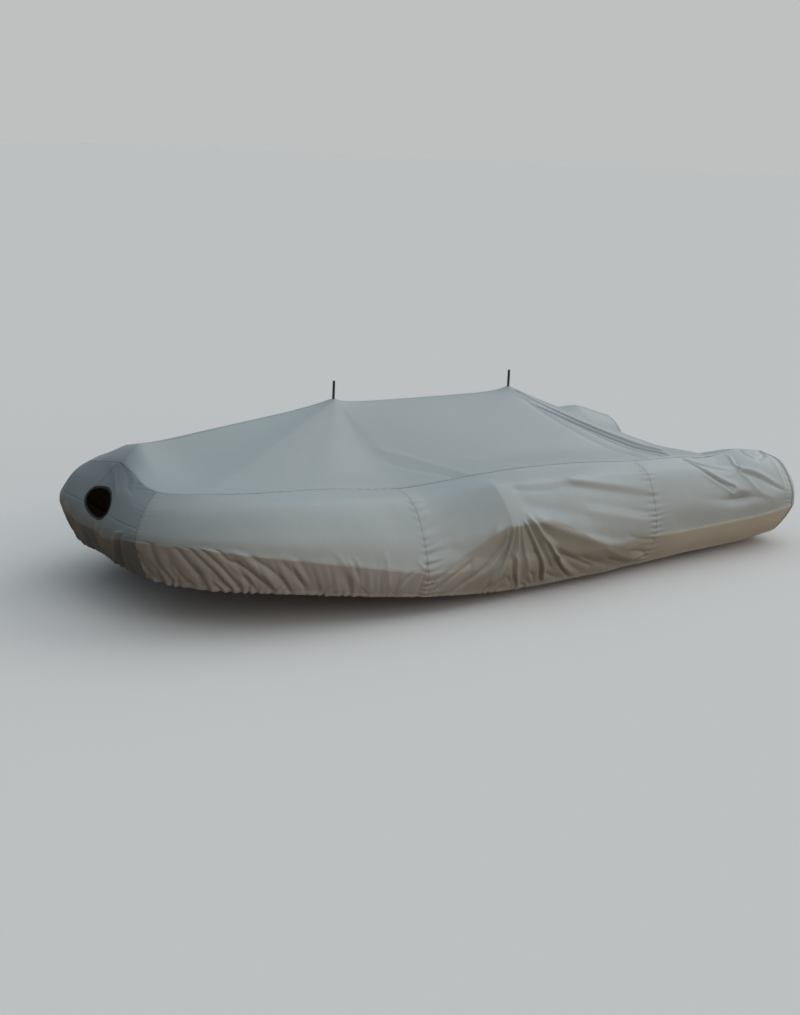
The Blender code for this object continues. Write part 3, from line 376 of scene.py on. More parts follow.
# ---- top panel -------------------------------------------------------------------------
AFT_CENTRE = (1.325, 0.470)    # x and height of the middle of the aft edge
STERN_RISE = 0.009             # rise of that edge over a side, and how far in it reaches
STERN_RISE_REACH = 0.3
SOCK_CLEARANCE = 0.003         # the edge lies this high on the sock's own cloth
SETTLED = (0.17, 0.36)         # share of the half edge that lies on the sock, and where it is free
TOP_COLUMNS = ((0.0, CAP_SEAM, 40), (CAP_SEAM, 1.30, 76), (1.30, 2.60, 106), (2.60, STERN_SEAM, 132))
AFT_EDGE_COLUMNS = 40
TOP_ROWS = {-1: 74, 1: 32}     # port half and starboard half
TOP_ROW_SPREAD = 1.15
TOP_ROW_GAP = 0.004            # share between the last plain row and the rows beside the seam
SAME_POINT = 2e-5              # points this close to each other are one
TOP_SLOPE = 1.12               # cloth is this much longer than its plan across the top
RIDGE_MARGIN = 0.12            # fan lines this close to a pole run to the pole
# station and height of the brow just inside the seam
BROW_PORT = ((0.0, 0.074), (0.06, 0.052), (0.14, 0.024), (0.22, 0.008), (0.32, 0.0), (3.5, 0.0))
BROW_STARBOARD = ((0.0, 0.074), (0.15, 0.060), (0.24, 0.030), (0.32, 0.010), (0.45, 0.0), (3.5, 0.0))
BROW_START = 0.925
BROW_BEND = 1.3
# station and sag of the cloth between ridge and seam
SAG = ((0.0, 0.0), (0.5, 0.003), (1.4, 0.004), (2.3, 0.005), (2.9, 0.012), (3.42, 0.020), (4.2, 0.020))
SAG_LOW = 1.5
TOP_HILL = 0.0022
STARBOARD_FOLD_SHARE = 0.8
AFT_EDGE_CLEAR = 0.0014        # the aft edge stays this clear of the panel below
# Folds of the top, port and starboard alike: x and out in place of station and drop
TOP_FOLDS = (
    (480, 40, 1030, 620, -11, -8, -20, 6, 6.5),
    (505, 70, 1045, 605, -11, 6, 12, 9, 11),
    (530, 170, 1010, 668, -4, -6, -19, 6, 6.5),
    (520, 150, 1030, 655, -4, 5, 9, 9, 11),
    (640, 300, 960, 678, -12, -4, -10, 7, 8),
    (500, 130, 790, 640, -29, -6, -7, 20, 30),
    (520, 60, 1180, 590, 2, 6, 8, 16, 18),
    (540, 40, 1240, 520, 20, -6, -14, 10, 12),
    (-600, 340, -290, 640, 32, 5, 5, 16, 18),
    (-590, 420, -330, 650, 10, -4, -4, 16, 18),
    (-200, 520, -10, 640, 5, 3, 3, 12, 12),
    (-120, 540, 60, 640, -3, -3, -3, 12, 12),
    (-720, 30, -1550, 420, 0, 4, 3, 40, 40),
    (-700, 50, -1200, 500, 0, -3, -3, 50, 50),
)

# ---- stern panel and end caps ----------------------------------------------------------
STERN_TURNS = (0.14, 0.62, 44)     # how far round a sock it begins and ends, and its rows
STERN_COLUMNS = 130
STERN_HEM = 0.16                   # height of its hem in the middle
STERN_UNDER = 0.005                # how far its top edge lies under the top's edge
STERN_AHEAD = 0.003
STERN_BELLY = 0.02
STERN_WIDTH = 0.995                # share of the distance between the socks
STERN_DRAPE = (5.5, 0.35, 0.006)   # folds to each side, how far they stray, their height
END_POINTS = (90, 70)              # points of a sock's end on its outer and its inner half
END_RIM_RINGS = (1.0, 0.994, 0.986, 0.975, 0.955)
END_RINGS = (0.93, 0.06, 24)       # share of the rim's size, first and last, and how many
END_PUCKERS = 42
END_PUCKER_HEIGHT = 0.0016
END_PUCKER_REACH = 0.10
END_SLACK = 0.004
END_TIP = 0.0004                   # the middle point stands out this far
END_FULLNESS = 1.08                # laid flat it is this much larger
SOCK_MESH = 0.010                  # how far apart the points of a sock's mesh lie
SOCK_ROWS = 90
SOCK_EDGE = 0.002                  # share of the turn left free at each seam
SOCK_GIRTH = 0.8                   # metres round the inner half


def smooth(knots, values, at):
    """Cubic curve through the values at the knots, read at each place in at."""
    knots = np.asarray(knots, float)
    values = np.asarray(values, float)
    slopes = np.gradient(values, knots, axis=0)
    at = np.clip(at, knots[0], knots[-1])
    cell = np.clip(np.searchsorted(knots, at, side="right") - 1, 0, len(knots) - 2)
    width = knots[cell + 1] - knots[cell]
    t = (at - knots[cell]) / width
    extra = (None,) * (values.ndim - 1)
    t, width = t[(...,) + extra], width[(...,) + extra]
    start, end = values[cell], values[cell + 1]
    leave, arrive = slopes[cell] * width, slopes[cell + 1] * width
    return (start * (2 * t**3 - 3 * t**2 + 1) + leave * (t**3 - 2 * t**2 + t)
            + end * (3 * t**2 - 2 * t**3) + arrive * (t**3 - t**2))


def fade(low, high, value):
    """0 below low, 1 above high, and an even S between them."""
    t = np.clip((value - low) / (high - low), 0.0, 1.0)
    return t * t * (3.0 - 2.0 * t)


def column(table, index, at):
    """One column of a table, read along its first column."""
    return np.interp(at, [row[0] for row in table], [row[index] for row in table])


def uneven(u, v, seed):
    """Even random hills about one unit across, from -1 to 1, the same on each run."""
    u, v = np.broadcast_arrays(np.asarray(u, float), np.asarray(v, float))
    column_at, row_at = np.floor(u).astype(np.int64), np.floor(v).astype(np.int64)
    s, t = u - column_at, v - row_at
    s, t = s * s * (3 - 2 * s), t * t * (3 - 2 * t)

    def corner(a, b):
        mixed = (a * 374761393 + b * 668265263 + seed * 974634777) & 0xFFFFFFFF
        mixed = ((mixed ^ (mixed >> 13)) * 1274126177) & 0xFFFFFFFF
        return ((mixed ^ (mixed >> 16)) & 0xFFFF) / 32767.5 - 1

    near = corner(column_at, row_at) * (1 - s) + corner(column_at + 1, row_at) * s
    far = corner(column_at, row_at + 1) * (1 - s) + corner(column_at + 1, row_at + 1) * s
    return near * (1 - t) + far * t


def ribs(phase, power):
    """Rounded ribs with sharp valleys at whole numbers, from -1 to 1."""
    return 2 * np.abs(np.sin(math.pi * phase)) ** power - 1


def creases(phase, width):
    """Flat cloth with a narrow crease at each whole number and a lip beside it, from -1 up."""
    across = phase - np.round(phase)
    crease = np.exp(-(np.abs(across) / width) ** 1.3)
    lip = np.exp(-((across - LIP_PLACE * width) / width) ** 2)
    return 0.35 - 1.35 * crease + 0.55 * lip


def bow_path():
    """Station, x and y along the middle of the port side, from the nose past the end of the sock."""
    turn = math.pi / 2 * np.linspace(0.0, 1.0, PLAN_STEPS) ** 2
    x = STRAIGHT_X + (NOSE_X - STRAIGHT_X) * np.cos(turn) ** (2 / BOW_ALONG)
    y = -HALF_SPAN * np.sin(turn) ** (2 / BOW_ACROSS)
    x = np.append(x, STRAIGHT_X + STRAIGHT_RUN)
    y = np.append(y, -HALF_SPAN)
    station = np.concatenate([[0.0], np.cumsum(np.hypot(np.diff(x), np.diff(y)))])
    return station, x, y


PATH_STATION, PATH_X, PATH_Y = bow_path()


def plan_point(station):
    """x and y of the middle of the port side; before the nose it is its own mirror image."""
    y = np.interp(np.abs(station), PATH_STATION, PATH_Y) * np.where(station < 0, -1.0, 1.0)
    return np.stack([np.interp(np.abs(station), PATH_STATION, PATH_X), y], axis=-1)


def side_frame(station):
    """Middle of the port side and the level direction out of it, at each station."""
    step = 0.02
    here = plan_point(station)
    along = plan_point(station + step) - plan_point(station - step)
    along /= np.linalg.norm(along, axis=-1, keepdims=True)
    rise = np.clip((SHEER_X - here[..., 0]) / SHEER_REACH, 0.0, None) ** SHEER_POWER
    centre = np.stack([here[..., 0], here[..., 1], SIDE_HEIGHT + SHEER_RISE * rise], axis=-1)
    outward = np.stack([along[..., 1], -along[..., 0], 0 * rise], axis=-1)
    return centre, outward


def section(station):
    """The five measured points of the band's cross section at each station, out and up."""
    rows = smooth([row[0] for row in SECTIONS], [row[1:] for row in SECTIONS], np.abs(station))
    rows = rows.reshape(rows.shape[:-1] + (5, 2))
    lift = column(STARBOARD_LIFT, 1, np.maximum(station, 0.0))
    rows[..., 0, 1] += lift
    rows[..., 1, 1] += lift * SHOULDER_LIFT
    return rows


def band_point(station, drop):
    """Point of the side band: signed station (port below zero), drop 0 at the seam, 1 at the hem."""
    station, drop = np.broadcast_arrays(np.asarray(station, float), np.asarray(drop, float))
    centre, outward = side_frame(np.abs(station))
    rows = section(station)
    rounded = smooth(DROP_KNOTS, np.eye(5), drop)
    upper = smooth(DROP_KNOTS[:4], np.eye(5)[:4], np.minimum(drop, DROP_KNOTS[3]))
    below = np.clip((drop - DROP_KNOTS[3]) / (1 - DROP_KNOTS[3]), 0, 1)[..., None]
    broken = upper * (1 - below) + np.eye(5)[4] * below
    crisp = column(CREASE, 1, np.abs(station))[..., None]
    reach = np.einsum("...k,...kc->...c", broken * crisp + rounded * (1 - crisp), rows)
    swell = CREASE_SWELL * crisp[..., 0] * np.sin(math.pi * below[..., 0])
    point = centre + outward * (reach[..., :1] + SWELL_SHARE * swell[..., None])
    point[..., 2] += reach[..., 1] - SWELL_SHARE * swell
    point[..., 1] *= np.where(station > 0, -1.0, 1.0)
    return point


def folded(across, down, table, scale=1.0):
    """Height of ridges and troughs, each a line from one place to another, sharp at its crest."""
    total = np.zeros(np.broadcast(across, down).shape)
    for row in table:
        (start_a, start_d, end_a, end_d, bow, start_height, end_height,
         start_width, end_width) = np.array(row[:9]) / 1000
        lean = row[9] if len(row) > 9 else 0.0
        run = np.array([end_a - start_a, (end_d - start_d) * scale])
        length = np.hypot(*run)
        run /= length
        a, d = across - start_a, (down - start_d) * scale
        t = (a * run[0] + d * run[1]) / length
        inside = np.clip(t, 0.0, 1.0)
        width = start_width + (end_width - start_width) * inside
        side = a * run[1] - d * run[0] - bow * 4 * inside * (1 - inside)
        side = side / (width * np.where(side > 0, 1 + lean, 1 - lean))
        past = (t - inside) * length / np.minimum(FOLD_END[0] * width, FOLD_END[1] * length)
        crest = np.exp(FOLD_EDGE**FOLD_FALL - (side**2 + past**2 + FOLD_EDGE) ** FOLD_FALL)
        total += (start_height + (end_height - start_height) * inside) * crest
    return total


def puckers(distance, along, pitch, reach, slant, seed):
    """Short ridges that run away from a seam, uneven in length and place."""
    place = (along + slant * distance) / pitch
    place = place + 0.30 * uneven(place * 0.7, 0.5, seed)
    strength = 0.6 + 0.4 * uneven(place, 3.5, seed + 1)
    length = reach * (0.75 + 0.45 * uneven(place * 0.9, 7.5, seed + 2))
    return ribs(place, 0.9) * strength * np.exp(-(distance / length) ** 1.4)


def corner_height(along, drop):
    """The corner under the cloth: a flat face with sharp edges, and the cloth stretched off them."""
    ahead_reach, above_reach, below_reach, behind_reach = CORNER_REACH
    far, far_share = CORNER_FAR
    edge = CORNER_EDGE + CORNER_EDGE_LEAN * (drop - CORNER_TOP)
    top = CORNER_TOP + CORNER_TOP_FALL * np.clip(along - CORNER_EDGE, 0.0, None)
    past = np.clip(along - CORNER_LOW_END, 0.0, None)
    low = CORNER_LOW + CORNER_LOW_FALL * past
    ahead = np.clip(edge - along, 0.0, None) / ahead_reach
    above = np.clip(top - drop, 0.0, None) * GIRTH / above_reach
    below = np.clip(drop - low, 0.0, None) * GIRTH / (below_reach + CORNER_LOW_WIDENS * past)
    behind = np.clip(along - far, 0.0, None) / behind_reach
    away = np.clip(np.sqrt(ahead**2 + above**2 + below**2 + behind**2), 0.0, 1.0)
    level = 1 - (1 - far_share) * np.clip((along - edge) / (far - edge), 0.0, 1.0)
    return CORNER_HEIGHT * level * (1 - away) ** CORNER_HOLLOW


def gathers(along, drop, hand, port):
    """The folds that the elastic draws the lower cloth into, coarse ones with finer ones on them."""
    fall = np.clip((drop - GATHER_START) / (1 - GATHER_START), 0.0, 1.0)
    lean = column(GATHERS, 3, along) * fall**GATHER_BEND
    phase = (along - lean) / GATHER_PITCH + GATHER_STRAY * uneven(along * 5 + hand, drop * 1.3, 11)
    depth = fade(GATHER_START, GATHER_FULL, drop) * (1 - GATHER_DRAWN * fade(DRAWN_FROM, 1.0, drop))
    depth = depth * (0.72 + 0.38 * uneven(phase * 0.9 + hand, drop * 2.0, 12))
    fine = phase * FINE_GATHERS + 0.5 * uneven(along * 8 + hand, drop * 3, 13)
    wave = (creases(phase, CREASE_WIDTH)
            + FINE_SHARE * creases(fine, FINE_CREASE_WIDTH) * uneven(fine * 0.6, drop + hand, 16))
    strength = np.where(port, column(GATHERS, 1, along), column(GATHERS, 2, along))
    return GATHER_HEIGHT * wave * depth * strength


def ruffles(along, drop, hand):
    """The short ruffles of the hem itself."""
    up = (1 - drop) * GIRTH
    place = along / RUFFLE_PITCH + 0.9 * uneven(along * 17 + hand, drop * 9, 14)
    strength = 0.55 + 0.75 * uneven(place * 0.6 + hand, 1.5, 15)
    ruffle = creases(place, RUFFLE_CREASE) * strength * column(RUFFLES, 1, along)
    return RUFFLE_HEIGHT * ruffle * np.exp(-(up / RUFFLE_REACH) ** 1.5) * (along > 0)


def band_height(station, drop):
    """How far the cloth of the side band stands out of its plain shape."""
    port = station <= 0
    along = np.abs(station)
    hand = np.where(port, 0.0, STARBOARD_SEED)
    height = gathers(along, drop, hand, port) + ruffles(along, drop, hand)
    height = height + corner_height(along, drop) * np.where(port, 1.0, CORNER_STARBOARD)
    side = np.where(port, folded(along, drop, PORT_FOLDS, GIRTH),
                    folded(along, drop, STARBOARD_FOLDS, GIRTH))
    side = side * (1 - FOLD_DRAWN * fade(DRAWN_FROM, 1.0, drop))
    height = height + side + folded(station, drop, CAP_FOLDS, GIRTH)
    for number, (seam, forward, aft, pitch, high, slant) in enumerate(SIDE_SEAM_PUCKERS):
        away = along - seam
        reach = np.where(away < 0, forward, aft)
        lines = puckers(np.abs(away), drop * GIRTH + hand, pitch, reach, slant, 31 + 5 * number)
        height = height + high * lines * fade(0.0, 0.06, drop)
    strength = column(TOP_SEAM_STRENGTH, 1, along)
    height = height + BAND_PUCKER_HEIGHT * strength * puckers(drop * GIRTH, along + hand, *BAND_PUCKERS)
    for to_metre, to_hem, high, seed in BAND_HILLS:
        height = height + high * uneven(along * to_metre + hand, drop * to_hem, seed)
    return height * fade(0.0, 0.016, drop) * (1 - fade(SOCK_END - 0.02, SOCK_END, along))


def seam_distance(station, drop, seams, wear_and_seam_shade):
    """Metres along the cloth from the top seam or a side seam; pressed seams count as further."""
    away = drop * GIRTH + 2 * wear_and_seam_shade * fade(*SOCK_START, np.abs(station))
    for seam in seams:
        away = np.minimum(away, np.abs(station - seam) + wear_and_seam_shade)
    return away


def band_edges(station, drop, seams):
    """How far the cloth turns in at its seams, and swells over the elastic in its hem."""
    over_sock = fade(*SOCK_START, np.abs(station))
    turned = -SEAM_DEPTH * (1 - PRESSED * over_sock) * np.exp(-drop * GIRTH / SEAM_ROLL)
    for seam in seams:
        turned = np.minimum(turned, -SIDE_SEAM_DEPTH * np.exp(-np.abs(station - seam) / SEAM_ROLL))
    up = (1 - drop) * GIRTH
    casing = HEM_SWELL * (1 - fade(HEM_WIDTH * 0.8, HEM_WIDTH * 1.2, up))
    stitched = -STITCH_DENT * np.exp(-((up - HEM_WIDTH * 1.15) / STITCH_WIDTH) ** 2)
    return turned + casing + stitched


def band_cloth(station, drop, seams):
    """Point of the side band with its folds and turned edges."""
    station, drop = np.broadcast_arrays(np.asarray(station, float), np.asarray(drop, float))
    across = band_point(station + NORMAL_STEP, drop) - band_point(station - NORMAL_STEP, drop)
    down = (band_point(station, np.minimum(drop + NORMAL_STEP, 1))
            - band_point(station, np.maximum(drop - NORMAL_STEP, 0)))
    normal = np.cross(across, down)
    normal /= np.linalg.norm(normal, axis=-1, keepdims=True)
    height = band_height(station, drop) + band_edges(station, drop, seams)
    return band_point(station, drop) + normal * height[..., None]


def spaced(start, end, step, close=(True, True)):
    """Places from start to end about a step apart, closer together beside a seam."""
    head = start + EDGE_STEPS if close[0] else np.array([start])
    tail = end - EDGE_STEPS[::-1] if close[1] else np.array([end])
    count = max(2, int(round((tail[0] - head[-1]) / step)))
    return np.concatenate([head, np.linspace(head[-1], tail[0], count + 1)[1:-1], tail])


def grid_faces(rows, columns):
    """Quads of a grid whose points are numbered row by row."""
    start = np.arange(rows - 1)[:, None] * columns + np.arange(columns - 1)[None, :]
    quads = np.stack([start, start + 1, start + columns + 1, start + columns], axis=-1)
    return quads.reshape(-1, 4).tolist()


def ring_faces(rings, around, closed=False):
    """Quads between rings of points; if closed, the last ring is joined to the first."""
    return [(r * around + c, r * around + (c + 1) % around,
             (r + 1) % rings * around + (c + 1) % around, (r + 1) % rings * around + c)
            for r in range(rings if closed else rings - 1) for c in range(around)]


def flat_map(stations, down):
    """The cloth laid flat: stations along and metres down from the seam."""
    return np.stack(np.broadcast_arrays(stations, down), axis=-1)


def in_scene(name, data):
    """Object with this mesh, lamp or camera, put in the scene."""
    obj = bpy.data.objects.new(name, data)
    bpy.context.scene.collection.objects.link(obj)
    return obj


def sheet_mesh(name, points, faces, flat, outer, inner, from_seam=None):
    """One cloth from points of its middle surface: a mesh with a cloth map and a wall."""
    mesh = bpy.data.meshes.new(name)
    mesh.from_pydata((points - ORIGIN).tolist(), [], faces)
    mesh.validate()
    mesh.shade_smooth()
    layer = mesh.uv_layers.new(name="cloth")
    corners = np.zeros(len(mesh.loops), np.int32)
    mesh.loops.foreach_get("vertex_index", corners)
    layer.data.foreach_set("uv", flat.reshape(-1, 2)[corners].astype(np.float32).ravel())
    marks = mesh.attributes.new("from_seam", "FLOAT", "POINT")
    away = np.full(len(mesh.vertices), 1.0) if from_seam is None else np.asarray(from_seam).ravel()
    marks.data.foreach_set("value", away.astype(np.float32))
    mesh.materials.append(outer)
    mesh.materials.append(inner)
    obj = in_scene(name, mesh)
    wall = obj.modifiers.new("wall", "SOLIDIFY")
    wall.thickness = CLOTH
    wall.offset = 0.0
    wall.material_offset = 1
    return obj


def closed_mesh(name, points, faces):
    """Mesh of a closed shape, with its faces turned outwards."""
    mesh = bpy.data.meshes.new(name)
    mesh.from_pydata(points.tolist(), [], faces)
    work = bmesh.new()
    work.from_mesh(mesh)
    bmesh.ops.recalc_face_normals(work, faces=work.faces)
    work.to_mesh(mesh)
    work.free()
    return mesh


def panel_from_grid(name, points, flat, outer, inner, from_seam=None):
    """Panel whose points lie in rows and columns."""
    faces = grid_faces(*points.shape[:2])
    return sheet_mesh(name, points.reshape(-1, 3), faces, flat, outer, inner, from_seam)


def band_panel(name, side, start, end, step, row_step, finer_from, outer, inner):
    """Side panel between two seams, from the top seam to its elastic hem, finer in its lower part."""
    station = np.sort(side * spaced(start + SEAM_GAP, end - SEAM_GAP, step))[None, :]
    upper = spaced(SEAM_GAP, finer_from, row_step, (True, False))
    lower = spaced(finer_from, GIRTH, row_step * FINER, (False, True))
    drops = (np.concatenate([upper, lower[1:]]) / GIRTH)[:, None]
    seams = (side * start, side * end)
    points = band_cloth(station, drops, seams)
    away = seam_distance(station, drops, seams, SIDE_SEAM_LESS_DARK)
    return panel_from_grid(name, points, flat_map(station, drops * GIRTH), outer, inner, away)


def sock_inner_point(side, station, turn):
    """Point on the inner half of a sock, turn 0 at the top seam and 1 at the hem line under it."""
    station, turn = np.broadcast_arrays(station, turn)
    centre, outward = side_frame(station)
    rows = section(side * station)
    seam, hem = np.moveaxis(rows[..., 0, :], -1, 0), np.moveaxis(rows[..., 4, :], -1, 0)
    start = np.arctan2(seam[1], seam[0])
    end = np.arctan2(hem[1], hem[0]) + 2 * math.pi
    angle = start + (end - start) * turn
    reach = np.hypot(*seam) * (1 - turn) + np.hypot(*hem) * turn
    narrow = 1 - SOCK_NARROWS[side] * fade(SOCK_END - SOCK_TAPER, SOCK_END, station)
    full = np.sin(math.pi * turn)
    middle = SOCK_RADIUS * narrow * full + reach * (1 - full)
    middle = middle + SOCK_HILL * uneven(station * 9 + side * 7, turn * 6, 71) * full
    point = centre + outward * (middle * np.cos(angle))[..., None]
    point[..., 2] += middle * np.sin(angle)
    point[..., 1] *= -side
    return point


def top_outline():
    """Outer edge of the top's port half: along the seam, then across the stern to the centre."""
    seam = np.concatenate([np.linspace(start, end, count, endpoint=False)
                           for start, end, count in TOP_COLUMNS] + [[STERN_SEAM]])
    points = band_point(-seam, 0.0)
    across = np.linspace(0, 1, AFT_EDGE_COLUMNS + 1)[1:]
    corner = points[-1]
    centre = np.array([AFT_CENTRE[0], 0.0, AFT_CENTRE[1]])
    edge = corner + (centre - corner) * across[:, None]
    over_side = STERN_RISE * np.sin(math.pi * np.clip(across / STERN_RISE_REACH, 0, 1))
    edge[:, 2] = corner[2] + (centre[2] - corner[2]) * fade(0.0, 1.0, across) + over_side
    # beside the sock the edge comes down on the sock's own cloth
    sock = sock_inner_point(-1, np.array(STERN_SEAM), np.linspace(0.0, 0.2, 60))
    on_sock = np.interp(edge[:, 1], sock[:, 1], sock[:, 2]) + SOCK_CLEARANCE * fade(0.0, 0.05, across)
    edge[:, 2] += (on_sock - edge[:, 2]) * (1 - fade(*SETTLED, across))
    return np.concatenate([seam, STERN_SEAM + 0.1 * across]), np.concatenate([points, edge])


def top_inner(outline):
    """Inner end of each fan line of the top's port half: round a pole hole or on the ridge."""
    x = outline[:, 0]
    inner = np.zeros_like(outline)
    forward = np.where(np.arange(len(x)) < len(x) - AFT_EDGE_COLUMNS, x, np.inf)
    first_ridge = int(np.searchsorted(forward, POLE_X[0] + RIDGE_MARGIN))
    end_ridge = int(np.searchsorted(forward, POLE_X[1] - RIDGE_MARGIN))
    for pole, span in ((0, slice(0, first_ridge)), (1, slice(end_ridge, len(x)))):
        angle = np.radians(np.linspace(180, 360, span.stop - span.start))
        inner[span, 0] = POLE_X[pole] + PEAK_HOLE * np.cos(angle)
        inner[span, 1] = PEAK_HOLE * np.sin(angle) * (np.abs(np.sin(angle)) > 1e-9)
        inner[span, 2] = PEAK_HEIGHT[pole]
    share = np.linspace(0, 1, end_ridge - first_ridge + 2)[1:-1]
    inner[first_ridge:end_ridge, 0] = POLE_X[0] + (POLE_X[1] - POLE_X[0]) * share
    inner[first_ridge:end_ridge, 2] = PEAK_HEIGHT[0] + (PEAK_HEIGHT[1] - PEAK_HEIGHT[0]) * share
    return inner


def top_surface(share, side, station, outline, inner):
    """Grid of one half of the top without folds, as on port: share 0 at pole or ridge, 1 at the seam."""
    points = inner + (outline - inner) * share[..., None]
    brow = column(BROW_PORT if side < 0 else BROW_STARBOARD, 1, station)
    turned = np.clip((share - BROW_START) / (1 - BROW_START), 0, 1)
    rounded = (np.sqrt(share**2 + RIDGE_ROUND**2) - RIDGE_ROUND) / (math.hypot(1, RIDGE_ROUND) - RIDGE_ROUND)
    height = inner[:, 2] + (outline[:, 2] + brow - inner[:, 2]) * rounded
    height = height - brow * turned**BROW_BEND
    points[..., 2] = height - column(SAG, 1, station) * np.sin(math.pi * share**SAG_LOW)
    near = np.minimum(*(np.hypot(points[..., 0] - x, points[..., 1]) - PEAK_HOLE for x in POLE_X))
    inside = 1 - fade(0.75, 1.0, share)
    points[..., 2] -= PEAK_DROP * (1 - np.exp(-np.clip(near, 0, None) / PEAK_REACH)) * inside
    between = np.clip((points[..., 0] - POLE_X[0]) / (POLE_X[1] - POLE_X[0]), 0, 1)
    points[..., 2] -= (RIDGE_SAG - PEAK_DROP) * np.sin(math.pi * between) * (1 - share) ** 2
    return points


def top_half(side):
    """The top's half on one side, with its folds and its turned edge."""
    station, outline = top_outline()
    inner = top_inner(outline)
    length = np.linalg.norm(outline - inner, axis=1)
    seam_rows = 1 - EDGE_STEPS[::-1, None] / length
    plain = np.linspace(0, 1, TOP_ROWS[side])[:, None] ** TOP_ROW_SPREAD * (seam_rows[0] - TOP_ROW_GAP)
    share = np.concatenate([plain, seam_rows])
    points = top_surface(share, side, station, outline, inner)
    out = -points[..., 1]
    away = (1 - share) * length
    rise = folded(points[..., 0], out, TOP_FOLDS) * (1.0 if side < 0 else STARBOARD_FOLD_SHARE)
    rise = rise + TOP_HILL * uneven(points[..., 0] * 3 + side * 9, out * 3, 81)
    points[..., 2] += rise * (fade(0.0, 0.05, out) * fade(0.0, 0.014, away))
    along = np.broadcast_to(station + side * STARBOARD_SEED, away.shape)
    points[..., 2] += TOP_PUCKER_HEIGHT * puckers(away, along, *TOP_PUCKERS) * fade(0.0, 0.012, away)
    points[..., 2] -= SEAM_DEPTH * np.exp(-away / SEAM_ROLL)
    # the edge ends just short of the seam line, and across the stern it stays clear of the panel below
    points[-1] += (inner - outline) * (SEAM_GAP / length)[:, None]
    across_stern = slice(-AFT_EDGE_COLUMNS - 1, None)
    points[:, across_stern, 0] -= AFT_EDGE_CLEAR * fade(0.9, 1.0, share[:, across_stern])
    points[..., 1] *= -side
    return points, away


def make_top(outer, inner):
    """The tent-shaped top: two halves sewn as one cloth, with a hole for each pole's tip."""
    work = bmesh.new()
    seam_layer = work.verts.layers.float.new("away")
    for side in (-1, 1):
        points, away = top_half(side)
        made = [work.verts.new(p) for p in points.reshape(-1, 3)]
        for vertex, distance in zip(made, away.ravel().tolist()):
            vertex[seam_layer] = distance
        for face in grid_faces(*points.shape[:2]):
            corners = [made[i] for i in face]
            work.faces.new(corners[::-1] if side < 0 else corners)
    bmesh.ops.remove_doubles(work, verts=work.verts, dist=SAME_POINT)
    work.verts.index_update()
    points = np.array([v.co for v in work.verts])
    faces = [[v.index for v in face.verts] for face in work.faces]
    from_seam = [v[seam_layer] for v in work.verts]
    work.free()
    flat = points[:, :2] * np.array([1.0, TOP_SLOPE])
    return sheet_mesh("top_cloth", points, faces, flat, outer, inner, from_seam)


def hole_loop(grow):
    """Outline of the hand hole on the bow cap, grown outwards by this many metres."""
    turn = np.linspace(0, 2 * math.pi, HOLE_STEPS, endpoint=False)
    width = HOLE_HALF_STATION * (1 - HOLE_TAPER * np.sin(turn)) + grow / HOLE_STATION_LENGTH
    station = HOLE_STATION + width * np.cos(turn)
    half_drop = HOLE_HALF_DROP + grow / HOLE_DROP_LENGTH
    return station, HOLE_DROP + half_drop * np.sin(turn) + HOLE_TILT * np.cos(turn)


def make_binding(outer):
    """Folded tape round the edge of the hand hole."""
    inner = band_cloth(*hole_loop(0.0), ())
    edge = band_cloth(*hole_loop(BINDING_WIDTH), ())
    ahead = np.roll(inner, -1, 0) - np.roll(inner, 1, 0)
    normal = np.cross(ahead, edge - inner)
    normal *= BINDING_THICK / 2 / np.linalg.norm(normal, axis=-1, keepdims=True)
    ring = np.stack([inner + (edge - inner) * across + normal * high
                     for across, high in TAPE_PROFILE], axis=1)
    mesh = closed_mesh("hole_tape", ring.reshape(-1, 3) - ORIGIN, ring_faces(*ring.shape[:2], closed=True))
    mesh.shade_smooth()
    mesh.materials.append(outer)
    return in_scene("hole_tape", mesh)


def cut_hand_hole(pieces):
    """Cuts the hand hole through the two cloths of the bow cap."""
    loop = band_cloth(*hole_loop(CUT_WIDTH), ()) - ORIGIN
    across = loop[0] - loop[HOLE_STEPS // 2]
    down = loop[HOLE_STEPS // 4] - loop[3 * HOLE_STEPS // 4]
    through = np.cross(across, down)
    through *= CUT_DEPTH / np.linalg.norm(through)
    points = np.concatenate([loop - through, loop + through])
    ends = [list(range(HOLE_STEPS))[::-1], list(range(HOLE_STEPS, 2 * HOLE_STEPS))]
    cutter = in_scene("hole_shape", closed_mesh("hole_shape", points, ends + ring_faces(2, HOLE_STEPS)))
    for obj in pieces:
        cut = obj.modifiers.new("hand_hole", "BOOLEAN")
        cut.operation = "DIFFERENCE"
        cut.solver = "EXACT"
        cut.object = cutter
        bpy.ops.object.select_all(action="DESELECT")
        bpy.context.view_layer.objects.active = obj
        obj.select_set(True)
        bpy.ops.object.modifier_apply(modifier="wall")
        bpy.ops.object.modifier_apply(modifier="hand_hole")
        obj.data.shade_smooth()
    bpy.data.objects.remove(cutter)


